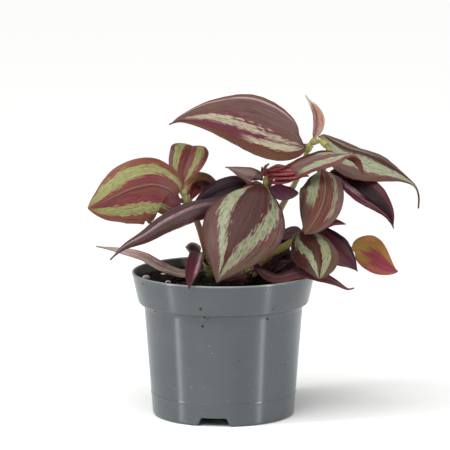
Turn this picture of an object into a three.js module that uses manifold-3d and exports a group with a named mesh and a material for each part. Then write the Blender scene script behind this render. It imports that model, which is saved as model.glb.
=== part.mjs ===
// A young inch plant with purple and silver striped leaves, grown from cuttings in a round nursery pot.
// Millimetres, +Z up. The pot stands on z = 0, and the side that shows best looks along -Y.
// Every place below is measured from the pot's axis on the floor. At the end the whole plant is moved
// so that the origin is the middle of its bounding box, on the floor.
import * as THREE from "three";
import { mergeVertices } from "three/addons/utils/BufferGeometryUtils.js";
import Module from "manifold-3d";

const wasm = await Module();
wasm.setup();

// Pot: a thin thermoformed shell with an upright collar below the rim
const RIM_RADIUS = 45;
const POT_HEIGHT = 71;
const COLLAR_HEIGHT = 15.2;
const COLLAR_FOOT_RADIUS = 41.9;
const BODY_TOP_RADIUS = 38.9;
const BODY_FOOT_RADIUS = 35;
const FOOT_RADIUS = 33.6;
const WALL = 1.1;
const SHOULDER = 2.6;
const BEAD_HEIGHT = 11;
const BEAD = 0.25;
const FLOOR_UNDERSIDE = 4.6;
const POT_SIDES = 40;

// Drain notches in the foot and drain holes in the floor
const NOTCH_HEIGHT = 4.3;
const NOTCH_FOOT_WIDTH = 16.6;
const NOTCH_TOP_WIDTH = 11.6;
const NOTCH_COUNT = 3;
const NOTCH_TURN = THREE.MathUtils.degToRad(-8);
const HOLE_COUNT = 6;
const HOLE_RADIUS = 3.5;
const HOLE_CIRCLE = 20;

// Potting mix
const SOIL_LEVEL = 66.5;
const SOIL_MOUND = 0.8;
const SOIL_LUMP = 0.6;
const SOIL_RINGS = 5;

// Gap kept between pieces that touch. A leaf is cut free of its stem a little closer than its sheath's bore.
const GAP = 0.3;
const STEM_CLEARANCE = 0.27;

// Leaves: the blade with its neck, curled margin and slow waves, and the sheath round the stem
const BLADE = 0.62;
const TIP_HALF_WIDTH = 0.35;
const NECK_HALF_WIDTH = 1.2;
const NECK = 2;
const BASE_POWER = 2.3;
const CURL = 0.14;
const WAVE = 0.5;
const WAVE_TURNS = 2;
const WAVE_START = [0.8, 2.6];
const WAVE_FULL_WIDTH = 6;
const SLICE_EASE = 0.5;
const BROAD_LEAF = 9;
const SHEATH_WALL = 0.7;
const SHEATH_LENGTH = 3.2;
const SHEATH_FLARE = 0.2;
const SHEATH_SIDES = 7;
const BLADE_DROP = 0.6;

// Stems: the line that each one follows, its radius at the foot and at the tip, and its nodes,
// as shares of its length. Each node is a slight swelling.
const NODE_SWELL = 0.16;
const NODE_SPREAD = 4;
const STEM_STEP = 3.8;
const STEM_SIDES = 7;
const STEMS = {
  left: {
    line: [[-6, 1, 55], [-6.5, 0, 68], [-7.7, -1, 77], [-9.6, -2, 85], [-13, -4, 96], [-17.8, -5, 106],
      [-19.8, -5, 111.4]],
    foot: 2.1,
    tip: 1.3,
    nodes: [0.3, 0.9],
  },
  centre: {
    line: [[8, 6, 55], [9, 5, 68], [14, 2, 84], [19, -1, 99], [21, -4, 110], [22, -5, 121]],
    foot: 2.1,
    tip: 1.7,
    nodes: [0.35, 0.7, 0.97],
  },
  tall: {
    line: [[13, 14, 55], [14, 13, 68], [21, 11, 86], [29, 9, 102], [35.5, 7.5, 114], [40, 6, 126],
      [42, 5, 132], [44.4, 4.6, 134.4], [47.3, 3.8, 134.8], [50.4, 2.2, 132.6], [52.2, 1, 129.4]],
    foot: 2.1,
    tip: 0.95,
    nodes: [0.3, 0.6, 0.86],
  },
  right: {
    line: [[14, 2, 55], [16, 1, 68], [22, -2, 78.5], [27, -3, 82], [32, -4, 85], [38.5, -5.5, 89],
      [43, -5, 97], [46, -4, 108], [48, -2, 122]],
    foot: 2,
    tip: 1.5,
    nodes: [0.3, 0.55],
  },
  low: {
    line: [[20, 16, 55], [24, 15, 67], [34, 15, 72], [47, 17, 75.5], [62, 20, 80]],
    foot: 1.9,
    tip: 1.4,
    nodes: [0.4, 0.75],
  },
  front: {
    line: [[9, -11, 55], [9, -12, 66], [10, -14, 71], [12, -16, 75.5]],
    foot: 1.8,
    tip: 1.5,
    nodes: [0.8],
  },
};

// Leaves: the stem each one wraps, how far along it, and the line of its midrib after the sheath.
// face is the way its upper side looks, from base to tip. Seen from there with the tip up, halves are
// the widths of its left and right half, fold how far each is folded up in degrees, and widest
// where each is widest. A high point draws the tip out, and a low round makes the base broad. slices is
// the number of steps along the blade, and neck the length of the narrow start where it isn't NECK.
const LEAVES = {
  leaf_top_large: {
    stem: "tall", at: 0.838, halves: [17.5, 19.9], fold: [30, 30], point: 1.4, widest: [0.36, 0.4],
    round: [0.6, 0.5], slices: 13, neck: 0.8, face: [[0, -0.78, 0.63], [0, -0.78, 0.63]],
    rib: [[36, 3, 132], [28, 1, 134], [15, -3, 138.8], [2, -7, 143.5], [-9, -10, 146.5], [-20, -12, 147],
      [-26.3, -13, 145]],
  },
  leaf_top_upright: {
    stem: "tall", at: 0.885, halves: [3.6, 4.5], fold: [50, 40], point: [0.9, 1.8], widest: [0.4, 0.4],
    round: [0.4, 0.45], slices: 8, neck: 1.2, face: [[0.3, -0.9, 0.2], [0.3, -0.9, 0.2]],
    rib: [[44.4, 7, 136.6], [45.6, 8.6, 142.6], [44.2, 9, 149.8], [40.3, 7, 156.8]],
  },
  leaf_top_right_long: {
    stem: "tall", at: 0.942, halves: [16.4, 14], fold: [-19, -19], point: 3.2, widest: [0.26, 0.38],
    round: [1.3, 1.9], slices: 13, neck: 3.4, face: [[0, -0.43, 0.9], [0, -0.43, 0.9]],
    rib: [[48.4, 7, 137], [52, 6.4, 134.6], [56, 5, 132.2], [61, 2.6, 130], [69, -1, 128.2],
      [75, -4, 126], [83, -8, 122], [89, -12, 118.5], [93, -14, 115], [94.7, -15, 110], [94.6, -15, 104.2]],
  },
  leaf_twisted: {
    stem: "centre", at: 0.985, halves: [6, 6.6], fold: [-25, -25], point: [0.9, 0.8], widest: [0.45, 0.3],
    round: [0.6, 0.35], slices: 13, neck: 1, face: [[0, -0.8, 0.6], [0, -0.75, 0.66], [0.3, 0.9, 0.3]],
    rib: [[27, -8, 120.5], [31.4, -10, 123], [38, -14, 127], [45.7, -17, 129.8], [53, -19, 131],
      [59.6, -20, 131.5], [64.4, -21, 129.7], [67.6, -22, 121.6]],
  },
  leaf_right_drooping: {
    stem: "right", at: 0.93, halves: [9, 7], fold: [25, 25], point: 1.2, widest: [0.5, 0.45],
    round: [0.8, 1.4], slices: 11, face: [[0, -0.8, 0.6], [0, -0.8, 0.6]],
    rib: [[54, -0.8, 118.6], [59.3, -2, 116.3], [64.2, -5.5, 113], [68.6, -9.5, 110], [74.1, -14, 106.7],
      [79.6, -17, 101.5], [82.5, -19, 95]],
  },
  leaf_right_hanging: {
    stem: "right", at: 0.985, halves: [10.3, 12.3], fold: [-15, -15], point: 0.8, widest: [0.45, 0.4],
    round: [0.45, 0.45], slices: 11, face: [[0, -0.9, 0.4], [0, -0.9, 0.4]],
    rib: [[48.5, -8, 120.5], [49, -12.5, 115], [47.8, -15, 107.2], [43.4, -18, 98], [39.2, -20, 92.4]],
  },
  leaf_right_small: {
    stem: "right", at: 0.72, halves: [5, 4.6], fold: [50, 50], point: 1, widest: [0.45, 0.45],
    round: [0.6, 0.6], slices: 7, face: [[0, -0.3, 0.95], [0, -0.3, 0.95]],
    rib: [[49, -5.5, 93.5], [54.5, -4, 94.5], [59.8, -3, 94.6]],
  },
  leaf_front_right: {
    stem: "right", at: 0.605, halves: [11.4, 12.6], fold: [-20, -20], point: 0.75, widest: [0.45, 0.36],
    round: [0.45, 0.32], slices: 11, face: [[0.05, -0.75, 0.65], [0.05, -0.75, 0.65]],
    rib: [[40, -10.5, 92], [43, -17, 89], [45.4, -24, 84.8], [46.2, -30, 79.9], [45.9, -36, 73.1]],
  },
  leaf_dark_right: {
    stem: "right", at: 0.662, halves: [6, 9], fold: [10, 10], point: 1.1, widest: [0.45, 0.5],
    round: [0.8, 0.6], slices: 9, face: [[0.2, -0.85, 0.5], [0.2, -0.85, 0.5]],
    rib: [[47, -1, 91], [52, -2, 86.5], [58.1, -2, 81.3], [62.6, -1, 76.2], [65.8, 0, 70.6]],
  },
  leaf_far_right: {
    stem: "low", at: 0.965, halves: [10, 7.2], fold: [8, 8], point: [1.35, 0.6], widest: [0.3, 0.5],
    round: [1, 0.8], slices: 10, face: [[0, -0.95, 0.3], [0, -0.95, 0.3]],
    rib: [[66, 20, 78.5], [71, 20, 76], [77.5, 18, 72.7], [86.6, 16, 67.8]],
  },
  leaf_over_rim: {
    stem: "front", at: 0.93, halves: [6, 6], fold: [4, 4], point: 1.2, widest: [0.5, 0.5],
    round: [0.7, 0.7], slices: 13, face: [[0, -0.3, 0.95], [0, -0.3, 0.95]],
    rib: [[17, -18, 74.5], [23, -21.5, 71.8], [28, -22, 71.5], [34, -20.5, 73], [40, -19, 73.8],
      [47, -19.5, 72], [54, -20.5, 69], [60, -21, 65.6], [63.4, -21, 66]],
  },
  leaf_dark_low: {
    stem: "low", at: 0.5, halves: [8, 9], fold: [3, 3], point: 1, widest: [0.4, 0.4],
    round: [0.5, 0.5], slices: 9, face: [[0, -0.75, 0.66], [0, -0.75, 0.66]],
    rib: [[34, 11, 75.5], [29, 8, 75.5], [20, 4.5, 75]],
  },
  leaf_back_low: {
    stem: "right", at: 0.53, halves: [8, 6], fold: [3, 3], point: 1, widest: [0.4, 0.4],
    round: [0.5, 0.5], slices: 9, face: [[0, -0.5, 0.87], [0, -0.5, 0.87]],
    rib: [[34, 0, 88.5], [32, 6, 89.5], [27, 11, 86.5], [22, 14, 82]],
  },
  leaf_front_large: {
    stem: "centre", at: 0.814, halves: [21.8, 18.4], fold: [-12, -4], point: 1, widest: [0.47, 0.46],
    round: [1.1, 1.35], slices: 14, neck: 6,
    face: [[0, 0.3, 0.95], [-0.1, -0.65, 0.75], [-0.15, -0.8, 0.55], [-0.2, -0.85, 0.45],
      [-0.2, -0.85, 0.4]],
    rib: [[18.6, -8.2, 112.4], [17.2, -12, 115.2], [15.4, -16.5, 113.8], [13.2, -20.5, 110.2],
      [9.8, -26, 104.4], [6.8, -30.5, 98.6], [4, -34.5, 92], [1, -37.6, 84], [-3.3, -39, 71.8]],
  },
  leaf_dark_left: {
    stem: "centre", at: 0.756, halves: [5, 6.5], fold: [8, 8], point: 1.3, widest: [0.5, 0.55],
    round: [0.9, 0.6], slices: 10, face: [[0, -0.85, 0.53], [0, -0.85, 0.53]],
    rib: [[14, 0.5, 108], [8, 1.2, 112.4], [-2.7, 0.6, 109.5], [-12.6, 0.3, 104.2], [-15.5, 0.3, 100.3]],
  },
  leaf_left_long: {
    stem: "centre", at: 0.695, halves: [6, 7.5], fold: [-25, -25], point: 1.2, widest: [0.45, 0.45],
    round: [0.6, 1.2], slices: 14, face: [[0, -0.77, 0.64], [0, -0.77, 0.64]],
    rib: [[12, -4.5, 104.5], [0.7, -7.5, 106.5], [-7.2, -11.5, 105.5], [-15.2, -17, 104.2],
      [-22.6, -22, 101.6], [-30, -25.5, 98.2], [-37.8, -28.5, 93.2], [-47.6, -31, 88.1], [-54.5, -32, 81.8]],
  },
  leaf_centre_small: {
    stem: "centre", at: 0.92, halves: [7.4, 4.6], fold: [-37, -37], point: [1.3, 1.1], widest: [0.28, 0.4],
    round: [0.35, 0.6], slices: 9, neck: 0.8, face: [[0, -0.54, 0.84], [0, -0.54, 0.84]],
    rib: [[17.2, -5.6, 120.8], [13.4, -6, 122.5], [7.1, -5, 122.9], [0.9, -4, 122.8]],
  },
  leaf_centre_tip: {
    stem: "centre", at: 0.868, halves: [5, 6], fold: [-8, -8], point: 0.5, widest: [0.5, 0.68],
    round: [0.4, 1.1], slices: 8, neck: 0.8, face: [[0.1, -0.6, 0.8], [0.1, -0.6, 0.8]],
    rib: [[25.2, -12, 115], [30, -20.2, 113.8], [35.8, -25.4, 112.6]],
  },
  leaf_left_broad: {
    stem: "left", at: 0.91, halves: [17.8, 14.8], fold: [-8, -8], point: 0.75, widest: [0.45, 0.4],
    round: [0.5, 0.85], slices: 13, neck: 1.6, face: [[0.25, -0.9, 0.3], [0.3, -0.9, 0.25]],
    rib: [[-23, -9.9, 108], [-26, -12.2, 112.3], [-31, -14, 114.5], [-36, -15.4, 115.2],
      [-44.4, -18, 113.6], [-52, -20.5, 110.6], [-58.2, -22, 107.9], [-65.4, -24, 105.6]],
  },
  leaf_left_upright: {
    stem: "left", at: 0.988, halves: [10, 9.4], fold: [14, 14], point: 1, widest: [0.6, 0.62],
    round: [0.7, 0.95], slices: 12, face: [[0.1, -0.95, 0.3], [0.1, -0.8, 0.6], [0.1, -0.2, 0.98]],
    rib: [[-20.2, -4.6, 115.6], [-19.2, -2.4, 121], [-16.9, 2, 127.6], [-15.5, 8, 131], [-15, 15, 130.5]],
  },
  leaf_left_back: {
    stem: "left", at: 0.84, halves: [7, 6.8], fold: [6, 6], point: 0.9, widest: [0.45, 0.55],
    round: [0.5, 1.6], slices: 8, face: [[-0.4, -0.9, -0.1], [-0.3, -0.95, -0.1]],
    rib: [[-15.8, 3, 106.4], [-14.2, 9, 110.4], [-10.8, 13.5, 111.8], [-6, 17, 110.4], [-2, 19, 107]],
  },
  leaf_base_upright: {
    stem: "left", at: 0.406, halves: [3.4, 3.8], fold: [14, 14], point: 0.8, widest: [0.5, 0.5],
    round: [0.6, 0.6], slices: 8, face: [[0, -0.8, 0.6], [0, -0.8, 0.6]],
    rib: [[-12, -3.5, 79.5], [-14, -4.2, 81.6], [-16.2, -4.6, 83], [-18.6, -4.6, 83.4]],
  },
  leaf_base_curled: {
    stem: "left", at: 0.323, halves: [4, 4], fold: [12, 12], point: 0.75, widest: [0.6, 0.6],
    round: [0.6, 0.6], slices: 12, face: [[0, -0.5, 0.87], [0, -0.4, 0.9], [0, -0.6, 0.8]],
    rib: [[-9.6, -7.4, 77.6], [-11.2, -11.2, 81.4], [-12.6, -17.5, 82.4], [-13.6, -27, 80.6],
      [-15, -36.5, 77], [-15.9, -42.4, 73.8], [-16.4, -46.5, 70.4]],
  },
  leaf_left_narrow: {
    stem: "left", at: 0.256, halves: [4.4, 4.4], fold: [12, 12], point: 1.2, widest: [0.45, 0.45],
    round: [0.6, 0.6], slices: 12, face: [[0, -0.5, 0.87], [0, -0.5, 0.87]],
    rib: [[-13, -4, 71.5], [-20, -9, 71], [-30.9, -15, 75.6], [-40, -18, 81.2], [-50.7, -20, 84.3],
      [-61.6, -22, 86.7]],
  },
  leaf_base_front: {
    stem: "front", at: 0.74, halves: [5, 5], fold: [12, 12], point: 1, widest: [0.45, 0.45],
    round: [0.6, 0.6], slices: 8, face: [[0, -0.3, 0.95], [0, -0.3, 0.95]],
    rib: [[8.5, -17.5, 72.5], [7, -23, 73], [2.5, -28, 72.4], [-1.5, -32, 71.4]],
  },
};

// Light grains of perlite that lie on the soil: place and radius
const GRAIN_FLAT = [1, 0.85, 0.7];
const GRAIN_SEAT = 0.35;
const GRAINS = [[-38, -3, 2.1], [-27, -14, 1.5], [-30, 12, 1.6], [6, 30, 1.8]];

// Turns a closed three.js geometry into a solid, and back.
function solidOf(geometry) {
  const bare = geometry.clone();
  bare.deleteAttribute("normal");
  bare.deleteAttribute("uv");
  const merged = mergeVertices(bare, 1e-4);
  return new wasm.Manifold(new wasm.Mesh({
    numProp: 3,
    vertProperties: merged.attributes.position.array,
    triVerts: new Uint32Array(merged.index.array),
  }));
}

function geometryOf(solid) {
  const mesh = solid.getMesh();
  const geometry = new THREE.BufferGeometry();
  geometry.setAttribute("position", new THREE.BufferAttribute(mesh.vertProperties, 3));
  geometry.setIndex(new THREE.BufferAttribute(mesh.triVerts, 1));
  return geometry;
}

// A geometry from corner points and triangles of their numbers.
function facets(points, triangles) {
  const geometry = new THREE.BufferGeometry();
  geometry.setAttribute("position", new THREE.Float32BufferAttribute(points.flatMap((p) => p.toArray()), 3));
  geometry.setIndex(triangles.flat());
  return geometry;
}

// A profile of [radius, height] pairs turned about the upright axis.
function turned(profile, sides) {
  const outline = profile.map(([radius, height]) => new THREE.Vector2(radius, height));
  return new THREE.LatheGeometry(outline, sides).rotateX(Math.PI / 2);
}

// The inside of the pot as [radius, height] pairs from the floor up, drawn in by a gap.
function innerProfile(gap) {
  const collarFoot = POT_HEIGHT - COLLAR_HEIGHT;
  return [
    [BODY_FOOT_RADIUS + 0.3 - WALL - gap, FLOOR_UNDERSIDE + WALL + gap],
    [BODY_TOP_RADIUS - WALL - gap, collarFoot - SHOULDER + 1],
    [COLLAR_FOOT_RADIUS - WALL - gap, collarFoot + 1.4],
    [RIM_RADIUS - WALL - gap, POT_HEIGHT],
  ];
}

function makePot() {
  const collarFoot = POT_HEIGHT - COLLAR_HEIGHT;
  const inner = innerProfile(0);
  const beadRadius = THREE.MathUtils.mapLinear(BEAD_HEIGHT, 1.4, collarFoot - SHOULDER,
    BODY_FOOT_RADIUS, BODY_TOP_RADIUS);
  const profile = [
    [0, FLOOR_UNDERSIDE],
    [FOOT_RADIUS - WALL - 0.5, FLOOR_UNDERSIDE],
    [FOOT_RADIUS - WALL, 0],
    [FOOT_RADIUS, 0],
    [BODY_FOOT_RADIUS - 0.3, 0.5],
    [BODY_FOOT_RADIUS, 1.6],
    [beadRadius, BEAD_HEIGHT - 0.5],
    [beadRadius + BEAD, BEAD_HEIGHT],
    [BODY_TOP_RADIUS, collarFoot - SHOULDER],
    [BODY_TOP_RADIUS + 0.7, collarFoot - 0.9],
    [COLLAR_FOOT_RADIUS - 0.8, collarFoot - 0.4],
    [COLLAR_FOOT_RADIUS, collarFoot + 0.5],
    [RIM_RADIUS, POT_HEIGHT - 0.4],
    [RIM_RADIUS - 0.4, POT_HEIGHT],
    ...inner.reverse(),
    [0, FLOOR_UNDERSIDE + WALL],
  ];
  let pot = solidOf(turned(profile, POT_SIDES));
  const notch = new THREE.Shape();
  notch.moveTo(-NOTCH_FOOT_WIDTH / 2, -1);
  notch.lineTo(NOTCH_FOOT_WIDTH / 2, -1);
  notch.lineTo(NOTCH_FOOT_WIDTH / 2, 0.3);
  notch.lineTo(NOTCH_TOP_WIDTH / 2, NOTCH_HEIGHT);
  notch.lineTo(-NOTCH_TOP_WIDTH / 2, NOTCH_HEIGHT);
  notch.lineTo(-NOTCH_FOOT_WIDTH / 2, 0.3);
  for (let i = 0; i < NOTCH_COUNT; i++) {
    const cutter = new THREE.ExtrudeGeometry(notch, { depth: 12, bevelEnabled: false });
    cutter.rotateX(Math.PI / 2).translate(0, -FOOT_RADIUS + 6, 0);
    cutter.rotateZ(NOTCH_TURN + (i * 2 * Math.PI) / NOTCH_COUNT);
    pot = pot.subtract(solidOf(cutter));
  }
  for (let i = 0; i < HOLE_COUNT; i++) {
    const cutter = new THREE.CylinderGeometry(HOLE_RADIUS, HOLE_RADIUS, 6, 10).rotateX(Math.PI / 2);
    cutter.translate(HOLE_CIRCLE, 0, FLOOR_UNDERSIDE);
    cutter.rotateZ(NOTCH_TURN + ((i + 0.5) * 2 * Math.PI) / HOLE_COUNT);
    pot = pot.subtract(solidOf(cutter));
  }
  return pot;
}

// Height of the soil: a low mound with lumps made of crossed sines.
function soilHeight(x, y) {
  const share = Math.hypot(x, y) / RIM_RADIUS;
  const lumps = Math.sin(0.41 * x + 1.3) * Math.cos(0.37 * y - 0.6) + 0.6 * Math.sin(0.83 * x - 0.71 * y);
  return SOIL_LEVEL + SOIL_MOUND * (1 - share * share) + SOIL_LUMP * lumps;
}

function makeSoil() {
  const profile = innerProfile(GAP);
  const [foot, bodyTop, collarFoot, rim] = profile;
  const rimShare = (SOIL_LEVEL - collarFoot[1]) / (rim[1] - collarFoot[1]);
  const edgeRadius = collarFoot[0] + rimShare * (rim[0] - collarFoot[0]);
  const points = [new THREE.Vector3(0, 0, soilHeight(0, 0))];
  const rings = [];
  for (let i = 1; i <= SOIL_RINGS; i++) rings.push([(edgeRadius * i) / SOIL_RINGS, null]);
  rings.push(collarFoot, bodyTop, foot);
  for (const [radius, height] of rings) {
    for (let j = 0; j < POT_SIDES; j++) {
      const angle = (j * 2 * Math.PI) / POT_SIDES;
      const x = radius * Math.sin(angle);
      const y = -radius * Math.cos(angle);
      const atEdge = height === null && radius > edgeRadius - 0.01;
      const top = atEdge ? SOIL_LEVEL : soilHeight(x, y);
      points.push(new THREE.Vector3(x, y, height ?? top));
    }
  }
  points.push(new THREE.Vector3(0, 0, foot[1]));
  const last = points.length - 1;
  const triangles = [];
  for (let j = 0; j < POT_SIDES; j++) {
    const next = (j + 1) % POT_SIDES;
    triangles.push([0, 1 + j, 1 + next]);
    for (let i = 0; i + 1 < rings.length; i++) {
      const a = 1 + i * POT_SIDES + j;
      const b = 1 + i * POT_SIDES + next;
      triangles.push([a, a + POT_SIDES, b + POT_SIDES], [a, b + POT_SIDES, b]);
    }
    const ring = 1 + (rings.length - 1) * POT_SIDES;
    triangles.push([ring + j, last, ring + next]);
  }
  return solidOf(facets(points, triangles));
}

// A round bar along a curve, with its ends closed. radiusAt gives its radius from 0, the start, to 1.
function bar(curve, radiusAt, steps, sides) {
  const frames = curve.computeFrenetFrames(steps, false);
  const points = [];
  const triangles = [];
  for (let i = 0; i <= steps; i++) {
    const centre = curve.getPointAt(i / steps);
    const radius = radiusAt(i / steps);
    for (let j = 0; j < sides; j++) {
      const angle = (j * 2 * Math.PI) / sides;
      points.push(centre.clone()
        .addScaledVector(frames.normals[i], radius * Math.cos(angle))
        .addScaledVector(frames.binormals[i], radius * Math.sin(angle)));
    }
  }
  for (let j = 0; j < sides; j++) {
    const next = (j + 1) % sides;
    for (let i = 0; i < steps; i++) {
      const a = i * sides + j;
      const b = i * sides + next;
      triangles.push([a, b, b + sides], [a, b + sides, a + sides]);
    }
    if (j > 0 && j < sides - 1) {
      triangles.push([0, j + 1, j]);
      triangles.push([steps * sides, steps * sides + j, steps * sides + j + 1]);
    }
  }
  return solidOf(facets(points, triangles));
}

const vectors = (list) => list.map((p) => new THREE.Vector3(...p));

// A stem's curve and its radius along it, which swells at each node.
function stemShape(stem) {
  const curve = new THREE.CatmullRomCurve3(vectors(stem.line), false, "catmullrom", 0.5);
  const length = curve.getLength();
  const radiusAt = (u) => {
    const near = stem.nodes.map((node) => Math.exp(-(((u - node) * length) ** 2) / NODE_SPREAD));
    const swell = near.reduce((sum, one) => sum + one, 0);
    return THREE.MathUtils.lerp(stem.foot, stem.tip, u) * (1 + NODE_SWELL * Math.min(1, swell));
  };
  return { curve, length, radiusAt };
}

function stemSolid(stem, grow) {
  const { curve, length, radiusAt } = stemShape(stem);
  return bar(curve, (u) => radiusAt(u) + grow, Math.round(length / STEM_STEP), STEM_SIDES);
}

// Half of a leaf's width along its length, from 0 to 1: a rounded base, and a drawn-out tip.
function outline(u, widest, round, point) {
  if (u < widest) return (1 - (1 - u / widest) ** BASE_POWER) ** round;
  return Math.cos((Math.PI / 2) * ((u - widest) / (1 - widest))) ** point;
}

// The way a leaf's upper face looks, at u from 0 to 1, between the ways that its row gives.
function faceAt(faces, u) {
  const place = u * (faces.length - 1);
  const i = Math.min(Math.floor(place), faces.length - 2);
  return faces[i].clone().lerp(faces[i + 1], place - i).normalize();
}

// A point of a leaf's middle layer. u runs from the sheath to the tip, and v from the right margin, -1,
// to the left, 1. Each half is folded up, its margin curls down again and the margin waves gently.
function leafPoint(leaf, curve, u, v) {
  const centre = curve.getPointAt(u);
  const along = curve.getTangentAt(u);
  const side = faceAt(leaf.faces, u).cross(along).normalize();
  const up = along.clone().cross(side);
  const k = v > 0 ? 0 : 1;
  const neck = (leaf.neck ?? NECK) / curve.getLength();
  const point = leaf.point[k] ?? leaf.point;
  const blade = u < neck ? 0 : outline((u - neck) / (1 - neck), leaf.widest[k], leaf.round[k], point);
  const half = Math.max(leaf.halves[k] * blade, THREE.MathUtils.lerp(NECK_HALF_WIDTH, TIP_HALF_WIDTH, u));
  const reach = Math.abs(v) * half;
  const fold = THREE.MathUtils.degToRad(leaf.fold[k]);
  const curl = CURL * Math.abs(v) ** 2 * reach;
  const wave = WAVE * Math.sin(WAVE_TURNS * 2 * Math.PI * u + WAVE_START[k]) * v * v * Math.sin(Math.PI * u);
  return centre
    .addScaledVector(side, Math.sign(v) * reach * Math.cos(fold))
    .addScaledVector(up, reach * Math.sin(fold) - curl + wave * Math.min(1, half / WAVE_FULL_WIDTH));
}

// A thin closed blade: the middle layer moved out by half its thickness to each face,
// split into triangles alike on both faces.
function bladeSolid(leaf, curve) {
  const along = leaf.slices;
  const share = (i) => i / along - (SLICE_EASE * Math.sin((2 * Math.PI * i) / along)) / (2 * Math.PI);
  const across = leaf.halves[0] > BROAD_LEAF ? 6 : 4;
  const row = across + 1;
  const middle = (i, j) => leafPoint(leaf, curve, share(i), (2 * j) / across - 1);
  const step = 1e-3;
  const upper = [];
  const lower = [];
  for (let i = 0; i <= along; i++) {
    for (let j = 0; j <= across; j++) {
      const p = middle(i, j);
      const u = Math.min(share(i), 1 - step);
      const v = THREE.MathUtils.clamp((2 * j) / across - 1, -1, 1 - 2 * step);
      const here = leafPoint(leaf, curve, u, v);
      const alongEdge = leafPoint(leaf, curve, u + step, v).sub(here);
      const acrossEdge = leafPoint(leaf, curve, u, v + 2 * step).sub(here);
      const normal = alongEdge.cross(acrossEdge).normalize();
      upper.push(p.clone().addScaledVector(normal, BLADE / 2));
      lower.push(p.clone().addScaledVector(normal, -BLADE / 2));
    }
  }
  const under = upper.length;
  const triangles = [];
  for (let i = 0; i < along; i++) {
    for (let j = 0; j < across; j++) {
      const a = i * row + j;
      const b = a + 1;
      const c = a + row;
      const d = c + 1;
      triangles.push([a, c, d], [a, d, b]);
      triangles.push([under + a, under + d, under + c], [under + a, under + b, under + d]);
    }
    const left = i * row;
    const right = left + across;
    triangles.push([left, under + left, under + left + row], [left, under + left + row, left + row]);
    triangles.push([right, right + row, under + right + row], [right, under + right + row, under + right]);
  }
  for (let j = 0; j < across; j++) {
    const tip = along * row + j;
    triangles.push([j, j + 1, under + j + 1], [j, under + j + 1, under + j]);
    triangles.push([tip, under + tip, under + tip + 1], [tip, under + tip + 1, tip + 1]);
  }
  return solidOf(facets([...upper, ...lower], triangles));
}

// The sheath that joins a leaf to its stem: a short sleeve round the stem, a little flared at its mouth.
function sheathSolid(centre, axis, bore) {
  const outer = bore + SHEATH_WALL;
  const half = SHEATH_LENGTH / 2;
  const profile = [
    [bore, -half], [outer, -half], [outer + SHEATH_FLARE, half], [bore + SHEATH_FLARE / 2, half],
    [bore, -half],
  ].map(([radius, height]) => new THREE.Vector2(radius, height));
  const sleeve = new THREE.LatheGeometry(profile, SHEATH_SIDES);
  sleeve.applyQuaternion(new THREE.Quaternion().setFromUnitVectors(new THREE.Vector3(0, 1, 0), axis));
  sleeve.translate(...centre.toArray());
  return solidOf(sleeve);
}

// A leaf: its sheath round the stem and its blade grown out of the sheath's wall.
function makeLeaf(leaf) {
  const stem = stemShape(STEMS[leaf.stem]);
  const centre = stem.curve.getPointAt(leaf.at);
  const axis = stem.curve.getTangentAt(leaf.at);
  const bore = stem.radiusAt(leaf.at) + GAP;
  const ribPoints = vectors(leaf.rib);
  const out = ribPoints[0].clone().sub(centre);
  out.addScaledVector(axis, -out.dot(axis)).normalize();
  const start = centre.clone().addScaledVector(out, bore + SHEATH_WALL / 2)
    .addScaledVector(axis, SHEATH_LENGTH / 2 - BLADE_DROP);
  const curve = new THREE.CatmullRomCurve3([start, ...ribPoints], false, "catmullrom", 0.5);
  const shape = { ...leaf, faces: vectors(leaf.face) };
  const clearance = stemSolid(STEMS[leaf.stem], STEM_CLEARANCE);
  const whole = bladeSolid(shape, curve).add(sheathSolid(centre, axis, bore)).subtract(clearance);
  return whole.decompose().sort((a, b) => b.volume() - a.volume())[0];
}

// A rounded grain with slightly uneven corners.
function grainSolid([x, y, radius], grow) {
  const grain = new THREE.IcosahedronGeometry(radius + grow, 1);
  grain.scale(...GRAIN_FLAT).translate(x, y, soilHeight(x, y) + radius * GRAIN_SEAT);
  return solidOf(grain);
}

const material = (color, roughness) => new THREE.MeshStandardMaterial({ color, roughness, metalness: 0 });
const FINISHES = {
  pot: material(0x6f7879, 0.45),
  soil: material(0x1d1713, 0.95),
  perlite: material(0xc9b9a4, 0.9),
  stem: material(0x9a6a45, 0.5),
  leaf: material(0x75534f, 0.4),
};

const plant = new THREE.Group();
function place(name, solid, finish) {
  const mesh = new THREE.Mesh(geometryOf(solid), finish);
  mesh.name = name;
  plant.add(mesh);
}

place("pot", makePot(), FINISHES.pot);

let soil = makeSoil();
for (const stem of Object.values(STEMS)) soil = soil.subtract(stemSolid(stem, GAP));
for (const grain of GRAINS) soil = soil.subtract(grainSolid(grain, GAP));
place("soil", soil, FINISHES.soil);
GRAINS.forEach((grain, i) => place(`perlite_${i + 1}`, grainSolid(grain, 0), FINISHES.perlite));

for (const [name, stem] of Object.entries(STEMS)) place(`stem_${name}`, stemSolid(stem, 0), FINISHES.stem);
for (const [name, leaf] of Object.entries(LEAVES)) place(name, makeLeaf(leaf), FINISHES.leaf);

// The origin is the middle of the bounding box, on the floor.
const box = new THREE.Box3().setFromObject(plant);
const middle = box.getCenter(new THREE.Vector3());
plant.position.set(-middle.x, -middle.y, -box.min.z);

export default plant;
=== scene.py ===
"""A young inch plant with striped leaves in a round nursery pot, dressed for the camera.

Lengths in the tables are millimetres, measured from the pot's axis on the floor, with +Z up and the side
that shows best towards -Y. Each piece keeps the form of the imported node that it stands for.
"""

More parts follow.
